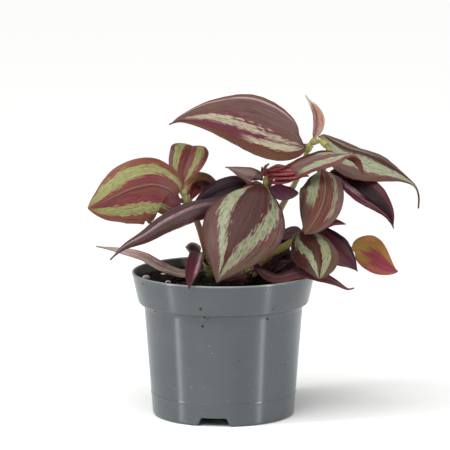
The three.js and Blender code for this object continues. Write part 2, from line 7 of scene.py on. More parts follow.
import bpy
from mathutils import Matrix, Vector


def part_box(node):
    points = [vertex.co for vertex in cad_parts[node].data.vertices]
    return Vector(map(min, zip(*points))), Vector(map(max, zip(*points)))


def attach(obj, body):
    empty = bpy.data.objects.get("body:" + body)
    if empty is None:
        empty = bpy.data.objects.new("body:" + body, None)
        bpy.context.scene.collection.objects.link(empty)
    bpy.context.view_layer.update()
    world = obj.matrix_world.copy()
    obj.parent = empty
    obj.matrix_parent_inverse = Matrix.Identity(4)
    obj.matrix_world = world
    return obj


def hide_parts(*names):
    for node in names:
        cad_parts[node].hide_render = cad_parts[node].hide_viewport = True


bl_info = {
    "name": "Striped Inch Plant",
    "version": (1, 0, 0),
    "blender": (4, 5, 0),
    "location": "3D View > Sidebar > Plant",
    "description": "Makes a striped inch plant with its leaves, stems, soil and nursery pot",
    "category": "Add Mesh",
}

import bpy
import numpy as np

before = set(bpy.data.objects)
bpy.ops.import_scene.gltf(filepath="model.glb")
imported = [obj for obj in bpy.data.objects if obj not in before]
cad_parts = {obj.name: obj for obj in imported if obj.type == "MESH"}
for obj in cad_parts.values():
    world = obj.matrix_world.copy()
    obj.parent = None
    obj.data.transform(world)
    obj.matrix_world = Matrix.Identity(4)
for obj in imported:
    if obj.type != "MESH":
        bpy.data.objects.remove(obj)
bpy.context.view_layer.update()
POT_LOW, POT_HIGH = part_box("pot")
AXIS = np.array([(POT_LOW.x + POT_HIGH.x) / 2, (POT_LOW.y + POT_HIGH.y) / 2, 0.0])
MM = 0.001

# Blade and sheath, as in the solids
TIP_HALF_WIDTH = 0.35
NECK_HALF_WIDTH = 1.2
NECK = 2.0
BASE_POWER = 2.3
CURL = 0.14
WAVE_TURNS = 2
WAVE_START = (0.8, 2.6)
WAVE_FULL_WIDTH = 6.0
SLICE_EASE = 0.5
SHEATH_LENGTH = 3.2
SHEATH_FLARE = 0.2
BLADE_DROP = 0.6
NICK_WIDTH = 0.8
GAP = 0.3
NODE_SWELL = 0.16
NODE_SPREAD = 4.0

# Finer form: the groove along the midrib, the small waves of the margin on so many millimetres, its least
# half thickness, the ridges along a stem, and the place, width and height of the fine ring at its nodes
GROOVE_WIDTH = 0.55
RUFFLES = 19
RUFFLE_SPAN = 60
MARGIN = 0.05
RIDGES = 8
RIDGE_HEIGHT = 0.015
RING_PLACE = 1.1
RING_WIDTH = 0.35
RING_HEIGHT = 0.08

# The fineness of the meshes: points along and across a blade, and the sides and rings of what is round
WIDE_HALF = 9
WIDE_BLADE = (84, 61)
NARROW_BLADE = (60, 41)
BRACT_BLADE = (36, 13)
TANGLE_BLADE = (48, 25)
SHEATH_SIDES = 28
SHEATH_RIBS = 9
STEM_SIDES = 24
STEM_RINGS = 96
POT_SIDES = 384
SOIL_SIDES = 260
SOIL_RINGS = 90
GRAIN_SIDES = 32
GRAIN_RINGS = 22

# The pot: how far its wall's outside lies in from the rim, and the heights of its parts
COLLAR_IN = 3.1
BODY_TOP_IN = 6.1
BODY_FOOT_IN = 10
FOOT_IN = 11.4
COLLAR_DEPTH = 15.2
COLLAR_SLOPE = 0.21
FLOOR = 4.6
BEAD = 11.0
NOTCHES = 3
NOTCH_TURN = 8
NOTCH_HEIGHT = 4.3
NOTCH_HALF = (5.8, 8.3)
HOLES = 6
HOLE_RING = 20
HOLE_RADIUS = 3.5
HOLE_SIDES = 40
CORNER = 0.35
SHARP_ANGLE = 50

# The potting mix
SOIL_LEVEL = 66.5
SOIL_REACH = 45
SOIL_MOUND = 0.8
SOIL_LUMP = 0.6
SOIL_SEED = 11
SMALL_LUMPS = 26
SMALL_LUMP_DEPTH = 0.9
CRUMB_SIZES = (0.25, 1.7)

# The camera stands where the photograph was taken from: its place, its pitch and its lens
CAMERA_PLACE = (0.74, -1550.0, 340.0)
CAMERA_PITCH = 9.03
CAMERA_LENS = 256.0
SENSOR = 36

# The stage: half the floor's side in metres, the lights' places, what they face and the tall lights' size
FLOOR_REACH = 12.0
SKY_PLACE = (-350, -620, 1300)
SKY_SPREAD = 55
LEFT_PLACE = (-940, -340, 330)
RIGHT_PLACE = (860, -520, 330)
LIT_POINT = (14, 0, 70)
LIGHT_SIZE = (90, 1200)

# Stems: line, radius at the foot and the tip, nodes as shares of the length, and colours from foot to tip
STEMS = {
    "left": dict(
        line=[(-6, 1, 55), (-6.5, 0, 68), (-7.7, -1, 77), (-9.6, -2, 85), (-13, -4, 96), (-17.8, -5, 106),
        (-19.8, -5, 111.4)], foot=2.1, tip=1.3, nodes=(0.3, 0.9), skin="lime brick lime"),
    "centre": dict(
        line=[(8, 6, 55), (9, 5, 68), (14, 2, 84), (19, -1, 99), (21, -4, 110), (22, -5, 121)], foot=2.1,
        tip=1.7, nodes=(0.35, 0.7, 0.97), skin="straw straw lime"),
    "tall": dict(
        line=[(13, 14, 55), (14, 13, 68), (21, 11, 86), (29, 9, 102), (35.5, 7.5, 114), (40, 6, 126),
        (42, 5, 132), (44.4, 4.6, 134.4), (47.3, 3.8, 134.8), (50.4, 2.2, 132.6), (52.2, 1, 129.4)],
        foot=2.1, tip=0.95, nodes=(0.3, 0.6, 0.86), skin="straw straw lime"),
    "right": dict(
        line=[(14, 2, 55), (16, 1, 68), (22, -2, 78.5), (27, -3, 82), (32, -4, 85), (38.5, -5.5, 89),
        (43, -5, 97), (46, -4, 108), (48, -2, 122)], foot=2, tip=1.5, nodes=(0.3, 0.55),
        skin="brick lime brick"),
    "low": dict(
        line=[(20, 16, 55), (24, 15, 67), (34, 15, 72), (47, 17, 75.5), (62, 20, 80)], foot=1.9, tip=1.4,
        nodes=(0.4, 0.75), skin="lime brick lime"),
    "front": dict(
        line=[(9, -11, 55), (9, -12, 66), (10, -14, 71), (12, -16, 75.5)], foot=1.8, tip=1.5, nodes=(0.8,),
        skin="lime brick lime"),
}

# What a leaf's row says unless it says otherwise
PLAIN_STRIPE = (0.5, 0.5, 0, 0, 0, 1)
PLAIN_LEAF = {
    "point": 1, "widest": 0.45, "round": 0.6, "neck": NECK, "right": PLAIN_STRIPE, "left": PLAIN_STRIPE,
    "reach": (0.1, 0.95), "shine": (0, 0),
}


def leaf(stem, at, halves, fold, face, rib, skin, **others):
    """A leaf's row. Where one number stands for both halves of the blade, it is given twice."""
    row = dict(PLAIN_LEAF, stem=stem, at=at, halves=halves, fold=fold, face=face, rib=rib, skin=skin)
    row.update(others)
    for name in ("halves", "fold", "point", "widest", "round"):
        row[name] = np.broadcast_to(row[name], 2)
    return row


# Leaves. Each row starts with the stem, the place on it, the widths of the left and the right half, seen
# from the upper side with the tip up, and their folds. Then come the way or ways that the upper side looks,
# the midrib, and the colours of the centre, stripes, left and right outer band, margin, midrib, base, tip
# and underside. point is how drawn out the tip is, widest where each half is widest, round how round the
# base is, neck the bare length there, and nick the place and depth of a notch in the left margin. right and
# left give the pale stripe on each half: its middle at the leaf's foot and head, its half width there, where
# it starts and ends along the leaf, and its strength if it is faint. reach says where the base's colour ends
# and the tip's starts. Last comes a painted highlight, a pale streak painted along one vein: its place,
# negative on the right half, and its strength. All are shares of the half's width or the leaf's length.
LEAVES = {
    "top_large": leaf(
        "tall", 0.838, (17.5, 19.9), 30, (0, -0.78, 0.63), [(36, 3, 132), (28, 1, 134), (15, -3, 138.8),
        (2, -7, 143.5), (-9, -10, 146.5), (-20, -12, 147), (-26.3, -13, 145)],
        "magenta pearl russet mauve rust magenta umber wine plum", point=1.4, widest=(0.36, 0.4),
        round=(0.6, 0.5), neck=0.8, right=(0.07, 0.2, 0.08, 0.15, 0.02, 0.9),
        left=(0.22, 0.55, 0.23, 0.06, 0, 0.48), reach=(0.03, 0.97), shine=(-0.86, 0.8)),
    "top_upright": leaf(
        "tall", 0.885, (3.6, 4.5), (50, 40), (0.3, -0.9, 0.2), [(44.4, 7, 136.6), (45.6, 8.6, 142.6),
        (44.2, 9, 149.8), (40.3, 7, 156.8)],
        "blush sand blush sand rose rose rose cream sand", point=(0.9, 1.8), widest=0.4, round=(0.4, 0.45),
        neck=1.2, right=(0.5, 0.4, 0.12, 0.2, 0.1, 1), left=(0.5, 0.5, 0.05, 0.2, 0.4, 1),
        reach=(0.1, 0.72), shine=(0, 0.3)),
    "top_right_long": leaf(
        "tall", 0.942, (16.4, 14), -19, (0, -0.43, 0.9), [(48.4, 7, 137), (52, 6.4, 134.6), (56, 5, 132.2),
        (61, 2.6, 130), (69, -1, 128.2), (75, -4, 126), (83, -8, 122), (89, -12, 118.5), (93, -14, 115),
        (94.7, -15, 110), (94.6, -15, 104.2)],
        "umber silver mauve taupe rust umber lime rust plum", point=3.2, widest=(0.26, 0.38),
        round=(1.3, 1.9), neck=3.4, right=(0.36, 0.34, 0.25, 0.3, 0.02, 0.88, 0.9),
        left=(0.3, 0.3, 0.12, 0.1, 0.04, 0.5, 0.6), reach=(0.08, 0.93), shine=(0, 0.2)),
    "twisted": leaf(
        "centre", 0.985, (6, 6.6), -25, [(0, -0.8, 0.6), (0, -0.75, 0.66), (0.3, 0.9, 0.3)],
        [(27, -8, 120.5), (31.4, -10, 123), (38, -14, 127), (45.7, -17, 129.8), (53, -19, 131),
        (59.6, -20, 131.5), (64.4, -21, 129.7), (67.6, -22, 121.6)],
        "mauve silver umber rose mauve mauve crimson rust rust", point=(0.9, 0.8), widest=(0.45, 0.3),
        round=(0.6, 0.35), neck=1, right=(0.8, 0.25, 0.12, 0.26, 0.22, 0.85),
        left=(0.1, 0.45, 0, 0.36, 0.45, 0.9), reach=(0.3, 0.93), shine=(0, 0.2)),
    "right_drooping": leaf(
        "right", 0.93, (9, 7), 25, (0, -0.8, 0.6), [(54, -0.8, 118.6), (59.3, -2, 116.3), (64.2, -5.5, 113),
        (68.6, -9.5, 110), (74.1, -14, 106.7), (79.6, -17, 101.5), (82.5, -19, 95)],
        "night pink maroon maroon maroon wine pink night plum", point=1.2, widest=(0.5, 0.45),
        round=(0.8, 1.4), right=(0.4, 0.3, 0.3, 0.1, 0, 0.5), reach=(0.04, 0.9), shine=(-0.5, 0.4)),
    "right_hanging": leaf(
        "right", 0.985, (10.3, 12.3), -15, (0, -0.9, 0.4), [(48.5, -8, 120.5), (49, -12.5, 115),
        (47.8, -15, 107.2), (43.4, -18, 98), (39.2, -20, 92.4)],
        "russet sage mauve bronze mauve rust mauve rust plum", point=0.8, widest=(0.45, 0.4), round=0.45,
        right=(0.4, 0.55, 0.26, 0.14, 0, 0.62), left=(0.52, 0.64, 0.13, 0.11, 0.06, 0.72, 0.8),
        reach=(0.04, 0.93), shine=(0.05, 0.3)),
    "right_small": leaf(
        "right", 0.72, (5, 4.6), 50, (0, -0.3, 0.95), [(49, -5.5, 93.5), (54.5, -4, 94.5),
        (59.8, -3, 94.6)],
        "rust olive rust bronze wine olive rust bronze crimson", right=(0.5, 0.4, 0.2, 0.15, 0.2, 0.9),
        left=(0.5, 0.5, 0.2, 0.2, 0.2, 0.9), reach=(0.1, 0.85)),
    "front_right": leaf(
        "right", 0.605, (11.4, 12.6), -20, (0.05, -0.75, 0.65), [(40, -10.5, 92), (43, -17, 89),
        (45.4, -24, 84.8), (46.2, -30, 79.9), (45.9, -36, 73.1)],
        "umber sage bronze umber rust umber umber bronze plum", point=0.75, widest=(0.45, 0.36),
        round=(0.45, 0.32), right=(0.64, 0.2, 0.15, 0.17, 0.04, 1), left=(0.52, 0.3, 0.19, 0.25, 0.04, 1),
        reach=(0.04, 0.97)),
    "dark_right": leaf(
        "right", 0.662, (6, 9), 10, (0.2, -0.85, 0.5), [(47, -1, 91), (52, -2, 86.5), (58.1, -2, 81.3),
        (62.6, -1, 76.2), (65.8, 0, 70.6)],
        "maroon plum night maroon plum plum night maroon plum", point=1.1, widest=(0.45, 0.5),
        round=(0.8, 0.6), reach=(0.08, 0.92), shine=(-0.8, 0.12)),
    "far_right": leaf(
        "low", 0.965, (10, 7.2), 8, (0, -0.95, 0.3), [(66, 20, 78.5), (71, 20, 76), (77.5, 18, 72.7),
        (86.6, 16, 67.8)],
        "carmine olive amber coral carmine carmine olive carmine coral", point=(1.35, 0.6),
        widest=(0.3, 0.5), round=(1, 0.8), right=(0.5, 0.5, 0.45, 0.2, 0, 0.5),
        left=(0.3, 0.4, 0.3, 0.2, 0, 0.42), reach=(0.3, 0.92)),
    "over_rim": leaf(
        "front", 0.93, 6, 4, (0, -0.3, 0.95), [(17, -18, 74.5), (23, -21.5, 71.8), (28, -22, 71.5),
        (34, -20.5, 73), (40, -19, 73.8), (47, -19.5, 72), (54, -20.5, 69), (60, -21, 65.6),
        (63.4, -21, 66)],
        "heather pink maroon rose maroon pink night heather wine", point=1.2, widest=0.5, round=0.7,
        left=(0.5, 0.5, 0, 0.04, 0.4, 1), reach=(0.1, 0.93), shine=(0.1, 0.4)),
    "dark_low": leaf(
        "low", 0.5, (8, 9), 3, (0, -0.75, 0.66), [(34, 11, 75.5), (29, 8, 75.5), (20, 4.5, 75)],
        "night plum night night plum plum night night night", widest=0.4, round=0.5),
    "back_low": leaf(
        "right", 0.53, (8, 6), 3, (0, -0.5, 0.87), [(34, 0, 88.5), (32, 6, 89.5), (27, 11, 86.5),
        (22, 14, 82)],
        "heather pink heather heather crimson wine wine heather wine", widest=0.4, round=0.5),
    "front_large": leaf(
        "centre", 0.814, (21.8, 18.4), (-12, -4), [(0, 0.3, 0.95), (-0.1, -0.65, 0.75), (-0.15, -0.8, 0.55),
        (-0.2, -0.85, 0.45), (-0.2, -0.85, 0.4)], [(18.6, -8.2, 112.4), (17.2, -12, 115.2),
        (15.4, -16.5, 113.8), (13.2, -20.5, 110.2), (9.8, -26, 104.4), (6.8, -30.5, 98.6), (4, -34.5, 92),
        (1, -37.6, 84), (-3.3, -39, 71.8)],
        "umber silver bronze taupe maroon umber umber rust plum", widest=(0.47, 0.46), round=(1.1, 1.35),
        neck=6, right=(0.86, 0.02, 0.28, 0.07, 0.1, 1, 0.95), left=(0.95, 0.18, 0.1, 0.18, 0.1, 1, 0.72),
        reach=(0.04, 0.98)),
    "dark_left": leaf(
        "centre", 0.756, (5, 6.5), 8, (0, -0.85, 0.53), [(14, 0.5, 108), (8, 1.2, 112.4),
        (-2.7, 0.6, 109.5), (-12.6, 0.3, 104.2), (-15.5, 0.3, 100.3)],
        "night plum night plum plum plum night plum plum", point=1.3, widest=(0.5, 0.55), round=(0.9, 0.6),
        shine=(-0.5, 0.12)),
    "left_long": leaf(
        "centre", 0.695, (6, 7.5), -25, (0, -0.77, 0.64), [(12, -4.5, 104.5), (0.7, -7.5, 106.5),
        (-7.2, -11.5, 105.5), (-15.2, -17, 104.2), (-22.6, -22, 101.6), (-30, -25.5, 98.2),
        (-37.8, -28.5, 93.2), (-47.6, -31, 88.1), (-54.5, -32, 81.8)],
        "violet pink umber violet pink pink plum violet plum", point=1.2, round=(0.6, 1.2),
        right=(0.2, 0.12, 0.05, 0.1, 0.3, 0.95), reach=(0.12, 0.95), shine=(-0.06, 0.4)),
    "centre_small": leaf(
        "centre", 0.92, (7.4, 4.6), -37, (0, -0.54, 0.84), [(17.2, -5.6, 120.8), (13.4, -6, 122.5),
        (7.1, -5, 122.9), (0.9, -4, 122.8)],
        "pink pink mauve mauve violet pink violet pink plum", point=(1.3, 1.1), widest=(0.28, 0.4),
        round=(0.35, 0.6), neck=0.8, shine=(0.78, 0.7)),
    "centre_tip": leaf(
        "centre", 0.868, (5, 6), -8, (0.1, -0.6, 0.8), [(25.2, -12, 115), (30, -20.2, 113.8),
        (35.8, -25.4, 112.6)],
        "plum plum night plum night plum night violet plum", point=0.5, widest=(0.5, 0.68),
        round=(0.4, 1.1), neck=0.8),
    "left_broad": leaf(
        "left", 0.91, (17.8, 14.8), -8, [(0.25, -0.9, 0.3), (0.3, -0.9, 0.25)], [(-23, -9.9, 108),
        (-26, -12.2, 112.3), (-31, -14, 114.5), (-36, -15.4, 115.2), (-44.4, -18, 113.6),
        (-52, -20.5, 110.6), (-58.2, -22, 107.9), (-65.4, -24, 105.6)],
        "rose lime clay clay clay umber magenta tan rose", point=0.75, widest=(0.45, 0.4),
        round=(0.5, 0.85), neck=1.6, nick=(0.5, 0.12), right=(0.6, 0.54, 0.06, 0.33, 0.1, 1),
        left=(0.66, 0.48, 0.15, 0.2, 0.04, 0.97), reach=(0.13, 0.97), shine=(-0.03, 0.2)),
    "left_upright": leaf(
        "left", 0.988, (10, 9.4), 14, [(0.1, -0.95, 0.3), (0.1, -0.8, 0.6), (0.1, -0.2, 0.98)],
        [(-20.2, -4.6, 115.6), (-19.2, -2.4, 121), (-16.9, 2, 127.6), (-15.5, 8, 131), (-15, 15, 130.5)],
        "rose lime mauve clay rose rust tan rust rose", widest=(0.6, 0.62), round=(0.7, 0.95),
        right=(0.55, 0.5, 0.1, 0.28, 0, 0.97), left=(0.6, 0.55, 0.1, 0.3, 0, 0.97), reach=(0.1, 0.98),
        shine=(0.6, 0)),
    "left_back": leaf(
        "left", 0.84, (7, 6.8), 6, [(-0.4, -0.9, -0.1), (-0.3, -0.95, -0.1)], [(-15.8, 3, 106.4),
        (-14.2, 9, 110.4), (-10.8, 13.5, 111.8), (-6, 17, 110.4), (-2, 19, 107)],
        "ember tan tan ember tan wine ember tan ember", point=0.9, widest=(0.45, 0.55), round=(0.5, 1.6),
        left=(0.7, 0.6, 0.3, 0.35, 0, 1)),
    "base_upright": leaf(
        "left", 0.406, (3.4, 3.8), 14, (0, -0.8, 0.6), [(-12, -3.5, 79.5), (-14, -4.2, 81.6),
        (-16.2, -4.6, 83), (-18.6, -4.6, 83.4)],
        "violet ash ash ash violet violet plum ash violet", point=0.8, widest=0.5, reach=(0.4, 0.8)),
    "base_curled": leaf(
        "left", 0.323, 4, 12, [(0, -0.5, 0.87), (0, -0.4, 0.9), (0, -0.6, 0.8)], [(-9.6, -7.4, 77.6),
        (-11.2, -11.2, 81.4), (-12.6, -17.5, 82.4), (-13.6, -27, 80.6), (-15, -36.5, 77),
        (-15.9, -42.4, 73.8), (-16.4, -46.5, 70.4)],
        "maroon pink violet wine crimson violet night maroon wine", point=0.75, widest=0.6,
        left=(0.55, 0.5, 0.2, 0.2, 0.3, 0.85), reach=(0.3, 0.85)),
    "left_narrow": leaf(
        "left", 0.256, 4.4, 12, (0, -0.5, 0.87), [(-13, -4, 71.5), (-20, -9, 71), (-30.9, -15, 75.6),
        (-40, -18, 81.2), (-50.7, -20, 84.3), (-61.6, -22, 86.7)],
        "ash cream ash ash violet violet violet ash mauve", point=1.2, right=(0.5, 0.45, 0.1, 0.1, 0.1, 1),
        left=(0.5, 0.5, 0.1, 0.1, 0.1, 1), reach=(0.12, 0.95)),
    "base_front": leaf(
        "front", 0.74, 5, 12, (0, -0.3, 0.95), [(8.5, -17.5, 72.5), (7, -23, 73), (2.5, -28, 72.4),
        (-1.5, -32, 71.4)],
        "maroon rose wine maroon rose rose night maroon wine", shine=(0, 0.2)),
}

# Light grains of perlite on the soil: place and radius
GRAIN_FLAT = (1, 0.85, 0.7)
GRAIN_SEAT = 0.35
GRAINS = {
    "perlite_1": (-38, -3, 2.1),
    "perlite_2": (-27, -14, 1.5),
    "perlite_3": (-30, 12, 1.6),
    "perlite_4": (6, 30, 1.8),
}

# Crumbs of soil stuck to the pot: degrees to the right of the front, height and size
SPECKS = [
    (-15, 59.4, 0.9), (-13, 55.2, 0.9), (-15, 50.2, 0.7), (-11, 54.2, 0.5), (33, 53, 0.75), (34, 58, 0.4),
    (-62, 68, 0.7), (-56, 55, 0.6), (48, 62, 0.4), (-30, 44, 0.35), (12, 33, 0.35), (70, 57, 0.4),
    (150, 60, 0.5), (205, 52, 0.35), (250, 64, 0.4), (110, 40, 0.3),
]
# The wall that they sit on stands in from the rim by these depths at these heights
WALL_HEIGHTS = (1.6, 53.2, 54.9, 55.4, 56.3, 71)
WALL_DEPTHS = (10, 6.1, 5.4, 3.9, 3.1, 0)
SPECK_SEED = 3

# Ragged bracts at the top of the centre stem: the midrib of each and the widths of its halves
BRACTS = [
    ([(22.2, -8, 115.7), (29.4, -11, 116.8), (38.6, -12.5, 120.2)], (2.2, 2)),
    ([(21.7, -8, 118.1), (30.4, -11.5, 119.1), (41.5, -13, 119.8)], (2.5, 2.3)),
    ([(21.2, -8, 120.1), (29.4, -11, 121), (39.1, -12.5, 121.7)], (2.6, 2.3)),
    ([(20.7, -8, 121.6), (25.5, -10, 123.1), (31.3, -11.5, 124.5)], (2.1, 1.8)),
    ([(20.2, -8, 120.6), (20.2, -8, 123), (22.1, -9.5, 125.4)], (0.9, 0.8)),
    ([(19.7, -8, 119.1), (18.8, -7, 121.4), (18.7, -8.5, 123.6)], (0.8, 0.8)),
    ([(20.7, -5, 113.7), (15.4, -5, 114), (9.5, -4, 113.1)], (2.4, 2.4)),
]
# Small dark leaves low between the stems
TANGLE = [
    ([(19, -3, 67.5), (17.5, -7, 71.5), (14, -11, 75), (9, -13, 78)], (3.6, 3.6)),
    ([(22, 0, 67.5), (25, -3, 72), (29, -6, 75.3), (35, -9, 78)], (3.2, 3.6)),
    ([(16, -12, 67.6), (12, -17, 69.2), (7, -22, 69.6), (2, -27, 69)], (2.6, 3)),
    ([(24, -6, 67.8), (29, -10, 71), (34, -13, 72.4), (40, -15, 71.5)], (2.6, 2.8)),
    ([(19, 6, 67.3), (21, 4.5, 72), (25, 2.5, 76.5), (30, 1, 79)], (5, 5)),
    ([(25, 8, 70.5), (27.5, 7, 77), (30.5, 6, 83), (35, 5, 88.5)], (4.4, 4.4)),
]
# The row that both share. Each blade takes its own midrib and widths
BRACT = leaf(
    "centre", 1, 1, 20, (0.1, -0.7, 0.7), [],
    "crimson blush rose crimson rose crimson crimson crimson magenta", point=1.2, neck=1,
    right=(0.5, 0.5, 0.2, 0.1, 0.1, 0.8, 0.6), left=(0.5, 0.5, 0.1, 0.1, 0.1, 0.8, 0.6),
    reach=(0.1, 0.9), shine=(0, 0.3))

# Hairs at the mouth of each sheath and at the tip of one small leaf
FRINGE = 26
TIP_HAIRS = 7
HAIR_SEED = 5

# How far apart two leaves lie in the noise that marks them
MARKING_STEP = 17.3

# The leaves' colours
LEAF_TONES = {
    "silver": ("#90967a", "Palest stripes"),
    "pearl": ("#b2ab94", "Pale pinkish stripes"),
    "sage": ("#868b6c", "Grey green stripes"),
    "lime": ("#8c8e5c", "Yellow green stripes of the leaves in bright light"),
    "cream": ("#c4b69c", "Pale tips"),
    "mauve": ("#644a45", "Brown mauve ground"),
    "umber": ("#3f231e", "Dark olive brown ground"),
    "taupe": ("#563f38", "Grey brown outer bands"),
    "russet": ("#5d3b2f", "Brown lower side of the top leaf"),
    "heather": ("#623f47", "Grey purple"),
    "maroon": ("#481c27", "Dark red purple"),
    "rust": ("#62352b", "Warm red brown ground"),
    "clay": ("#74493a", "Orange brown ground of the bright leaves"),
    "bronze": ("#57473a", "Olive ground"),
    "tan": ("#94704c", "Orange brown margins"),
    "rose": ("#6c3d39", "Rose ground and margins"),
    "blush": ("#9a7d75", "Pale rose of the youngest leaf"),
    "sand": ("#b0937a", "Pale tan of the youngest leaf"),
    "coral": ("#a25a50", "Light red of the ageing leaf"),
    "carmine": ("#8e3f48", "Cool red of the ageing leaf"),
    "amber": ("#9e6c42", "Orange of the ageing leaf"),
    "ember": ("#5e2422", "Red of the leaf in the shade"),
    "pink": ("#8c7273", "Grey pink"),
    "magenta": ("#643040", "Purple red beside the midrib"),
    "crimson": ("#6c1b24", "Crimson bases and edges"),
    "wine": ("#3a1418", "Deep red brown"),
    "plum": ("#3b1a29", "Dark purple"),
    "violet": ("#4a373b", "Purple mauve of the shaded leaves"),
    "night": ("#1e0710", "Near black purple"),
    "olive": ("#8e6f36", "Olive yellow of the young and the ageing leaf"),
    "ash": ("#a4948e", "Grey of the withered leaf"),
}


# Small parts of the shapes

def linear(code):
    """A colour's web code as amounts of linear light."""
    parts = np.array([int(code[i:i + 2], 16) for i in (1, 3, 5)]) / 255
    light = np.where(parts <= 0.04045, parts / 12.92, ((parts + 0.055) / 1.055) ** 2.4)
    return tuple(light.tolist())


def unit(v):
    """Each vector divided by its length."""
    return v / np.maximum(np.linalg.norm(v, axis=-1, keepdims=True), 1e-9)


def smooth_step(x, low, high):
    """0 below low, 1 above high, and the cubic 3t2 - 2t3 between."""
    t = np.clip((x - low) / (high - low), 0, 1)
    return t * t * (3 - 2 * t)


def joined(*parts):
    """The parts side by side as a last axis, each first spread to the shape of all."""
    return np.stack(np.broadcast_arrays(*parts), -1)


def turns(count):
    """Angles evenly round a circle."""
    return np.linspace(0, 2 * np.pi, count, endpoint=False)


def round_axis(radius, angle, height):
    """Points round the pot's axis, at an angle to the right of the front."""
    return joined(radius * np.sin(angle), -radius * np.cos(angle), height)


def circle(first, second, turn):
    """Directions turned from the first towards the second, for each pair of them."""
    return np.cos(turn)[:, None] * first[..., None, :] + np.sin(turn)[:, None] * second[..., None, :]


def line_at(points, share):
    """Places and directions on the smooth line through the points, at shares of its length.

    Each stretch is the cubic that leaves and meets its points along half the chord of their neighbours,
    and the shares are evened out by the line's running length.
    """
    p = np.array(points, float)
    ends = np.vstack([2 * p[0] - p[1], p, 2 * p[-1] - p[-2]])

    def cubic(t):
        i = np.clip(np.floor(t).astype(int), 0, len(p) - 2)
        w = (t - i)[:, None]
        start, stop = ends[i + 1], ends[i + 2]
        leave, meet = (stop - ends[i]) / 2, (ends[i + 3] - start) / 2
        bend = 3 * (stop - start) - 2 * leave - meet
        twist = 2 * (start - stop) + leave + meet
        return start + w * (leave + w * (bend + w * twist)), unit(leave + w * (2 * bend + 3 * w * twist))

    steps = np.linspace(0, len(p) - 1, 40 * (len(p) - 1) + 1)
    run = np.concatenate([[0], np.cumsum(np.linalg.norm(np.diff(cubic(steps)[0], axis=0), axis=1))])
    place, way = cubic(np.interp(share * run[-1], run, steps))
    return place, way, run[-1]


def sheet_faces(rows, columns, wrap=False):
    """Quads of a grid of rows by columns, whose last column joins the first if it wraps."""
    i, j = np.meshgrid(np.arange(rows - 1), np.arange(columns if wrap else columns - 1), indexing="ij")
    a = i * columns + j
    b = i * columns + (j + 1) % columns
    return np.stack([a, a + columns, b + columns, b], -1).reshape(-1, 4)


def closed_faces(rings, sides):
    """Faces of a stack of rings with a cap on each end."""
    loop = np.arange(sides)[None]
    return sheet_faces(rings, sides, wrap=True), loop, (rings - 1) * sides + loop[:, ::-1]


def placed(name, data):
    """A new object in the scene."""
    made = bpy.data.objects.new(name, data)
    bpy.context.scene.collection.objects.link(made)
    return made


def piece(name, material, slot, surfaces, *nodes):
    """The mesh object of the surfaces, which rides on the plant and stands for the nodes.

    A surface is its points in millimetres, its groups of faces with equal numbers of corners and perhaps
    its marks: each point's share of the length and width, and its place on the surface.
    """
    mesh = bpy.data.meshes.new(name)
    points, faces, marks = [], [], {"share": [], "spot": []}
    for places, groups, *given in surfaces:
        start = sum(map(len, points))
        points.append(np.reshape(places, (-1, 3)))
        for group in groups:
            faces += (group + start).tolist()
        for known, mark in zip(marks.values(), given):
            known.append(np.reshape(mark, (-1, 3)))
    mesh.from_pydata((np.vstack(points) * MM + AXIS).tolist(), [], faces)
    for key, parts in marks.items():
        if parts:
            layer = mesh.attributes.new(key, "FLOAT_VECTOR", "POINT")
            layer.data.foreach_set("vector", np.vstack(parts).astype(np.float32).ravel())
    mesh.materials.append(material)
    mesh.polygons.foreach_set("use_smooth", np.ones(len(mesh.polygons), bool))
    mesh.validate()
    mesh.update()
    made = placed(name, mesh)
    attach(made, "root")
    if nodes:
        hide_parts(*nodes)
    return made


def tube(place, way, radius, across, sides):
    """A closed round bar: rings of the given radius carried along a line of places and directions.

    across is a direction that the line never takes, from which the rings are turned.
    """
    first = unit(np.cross(way, across))
    ring = circle(first, np.cross(way, first), turns(sides))
    points = place[:, None] + radius[:, None, None] * ring
    return points, [faces[:, ::-1] for faces in closed_faces(len(place), sides)]


def stem_shape(stem, share):
    """A stem's places, directions and radii: an even taper, a swelling at each node."""
    place, way, length = line_at(stem["line"], share)
    swell = sum(np.exp(-(((share - node) * length) ** 2) / NODE_SPREAD) for node in stem["nodes"])
    swell = np.minimum(1, swell)
    radius = (stem["foot"] + (stem["tip"] - stem["foot"]) * share) * (1 + NODE_SWELL * swell)
    return place, way, radius, swell, length


def soil_height(x, y):
    """Height of the soil: a low mound with lumps made of crossed sines."""
    share = np.hypot(x, y) / SOIL_REACH
    waves = np.sin(0.41 * x + 1.3) * np.cos(0.37 * y - 0.6) + 0.6 * np.sin(0.83 * x - 0.71 * y)
    return SOIL_LEVEL + SOIL_MOUND * (1 - share**2) + SOIL_LUMP * waves


def half_widths(row, u, length):
    """Half the blade's width along it, for the left and the right half.

    After a short neck it swells as a power of a power of the way to its widest, then falls to the tip as
    a power of a cosine.
    """
    neck = row["neck"] / length
    along = np.clip((u - neck) / (1 - neck), 0, 1)
    least = NECK_HALF_WIDTH + (TIP_HALF_WIDTH - NECK_HALF_WIDTH) * u
    both = []
    for half, widest, base, point in zip(row["halves"], row["widest"], row["round"], row["point"]):
        rise = (1 - (1 - np.minimum(along / widest, 1)) ** BASE_POWER) ** base
        fall = np.cos(np.pi / 2 * np.clip((along - widest) / (1 - widest), 0, 1)) ** point
        both.append(np.maximum(np.where(u < neck, 0, np.where(along < widest, rise, fall) * half), least))
    if "nick" in row:
        share, depth = row["nick"]
        both[0] = both[0] * (1 - depth * np.exp(-(((u - share) * length / NICK_WIDTH) ** 2)))
    return both


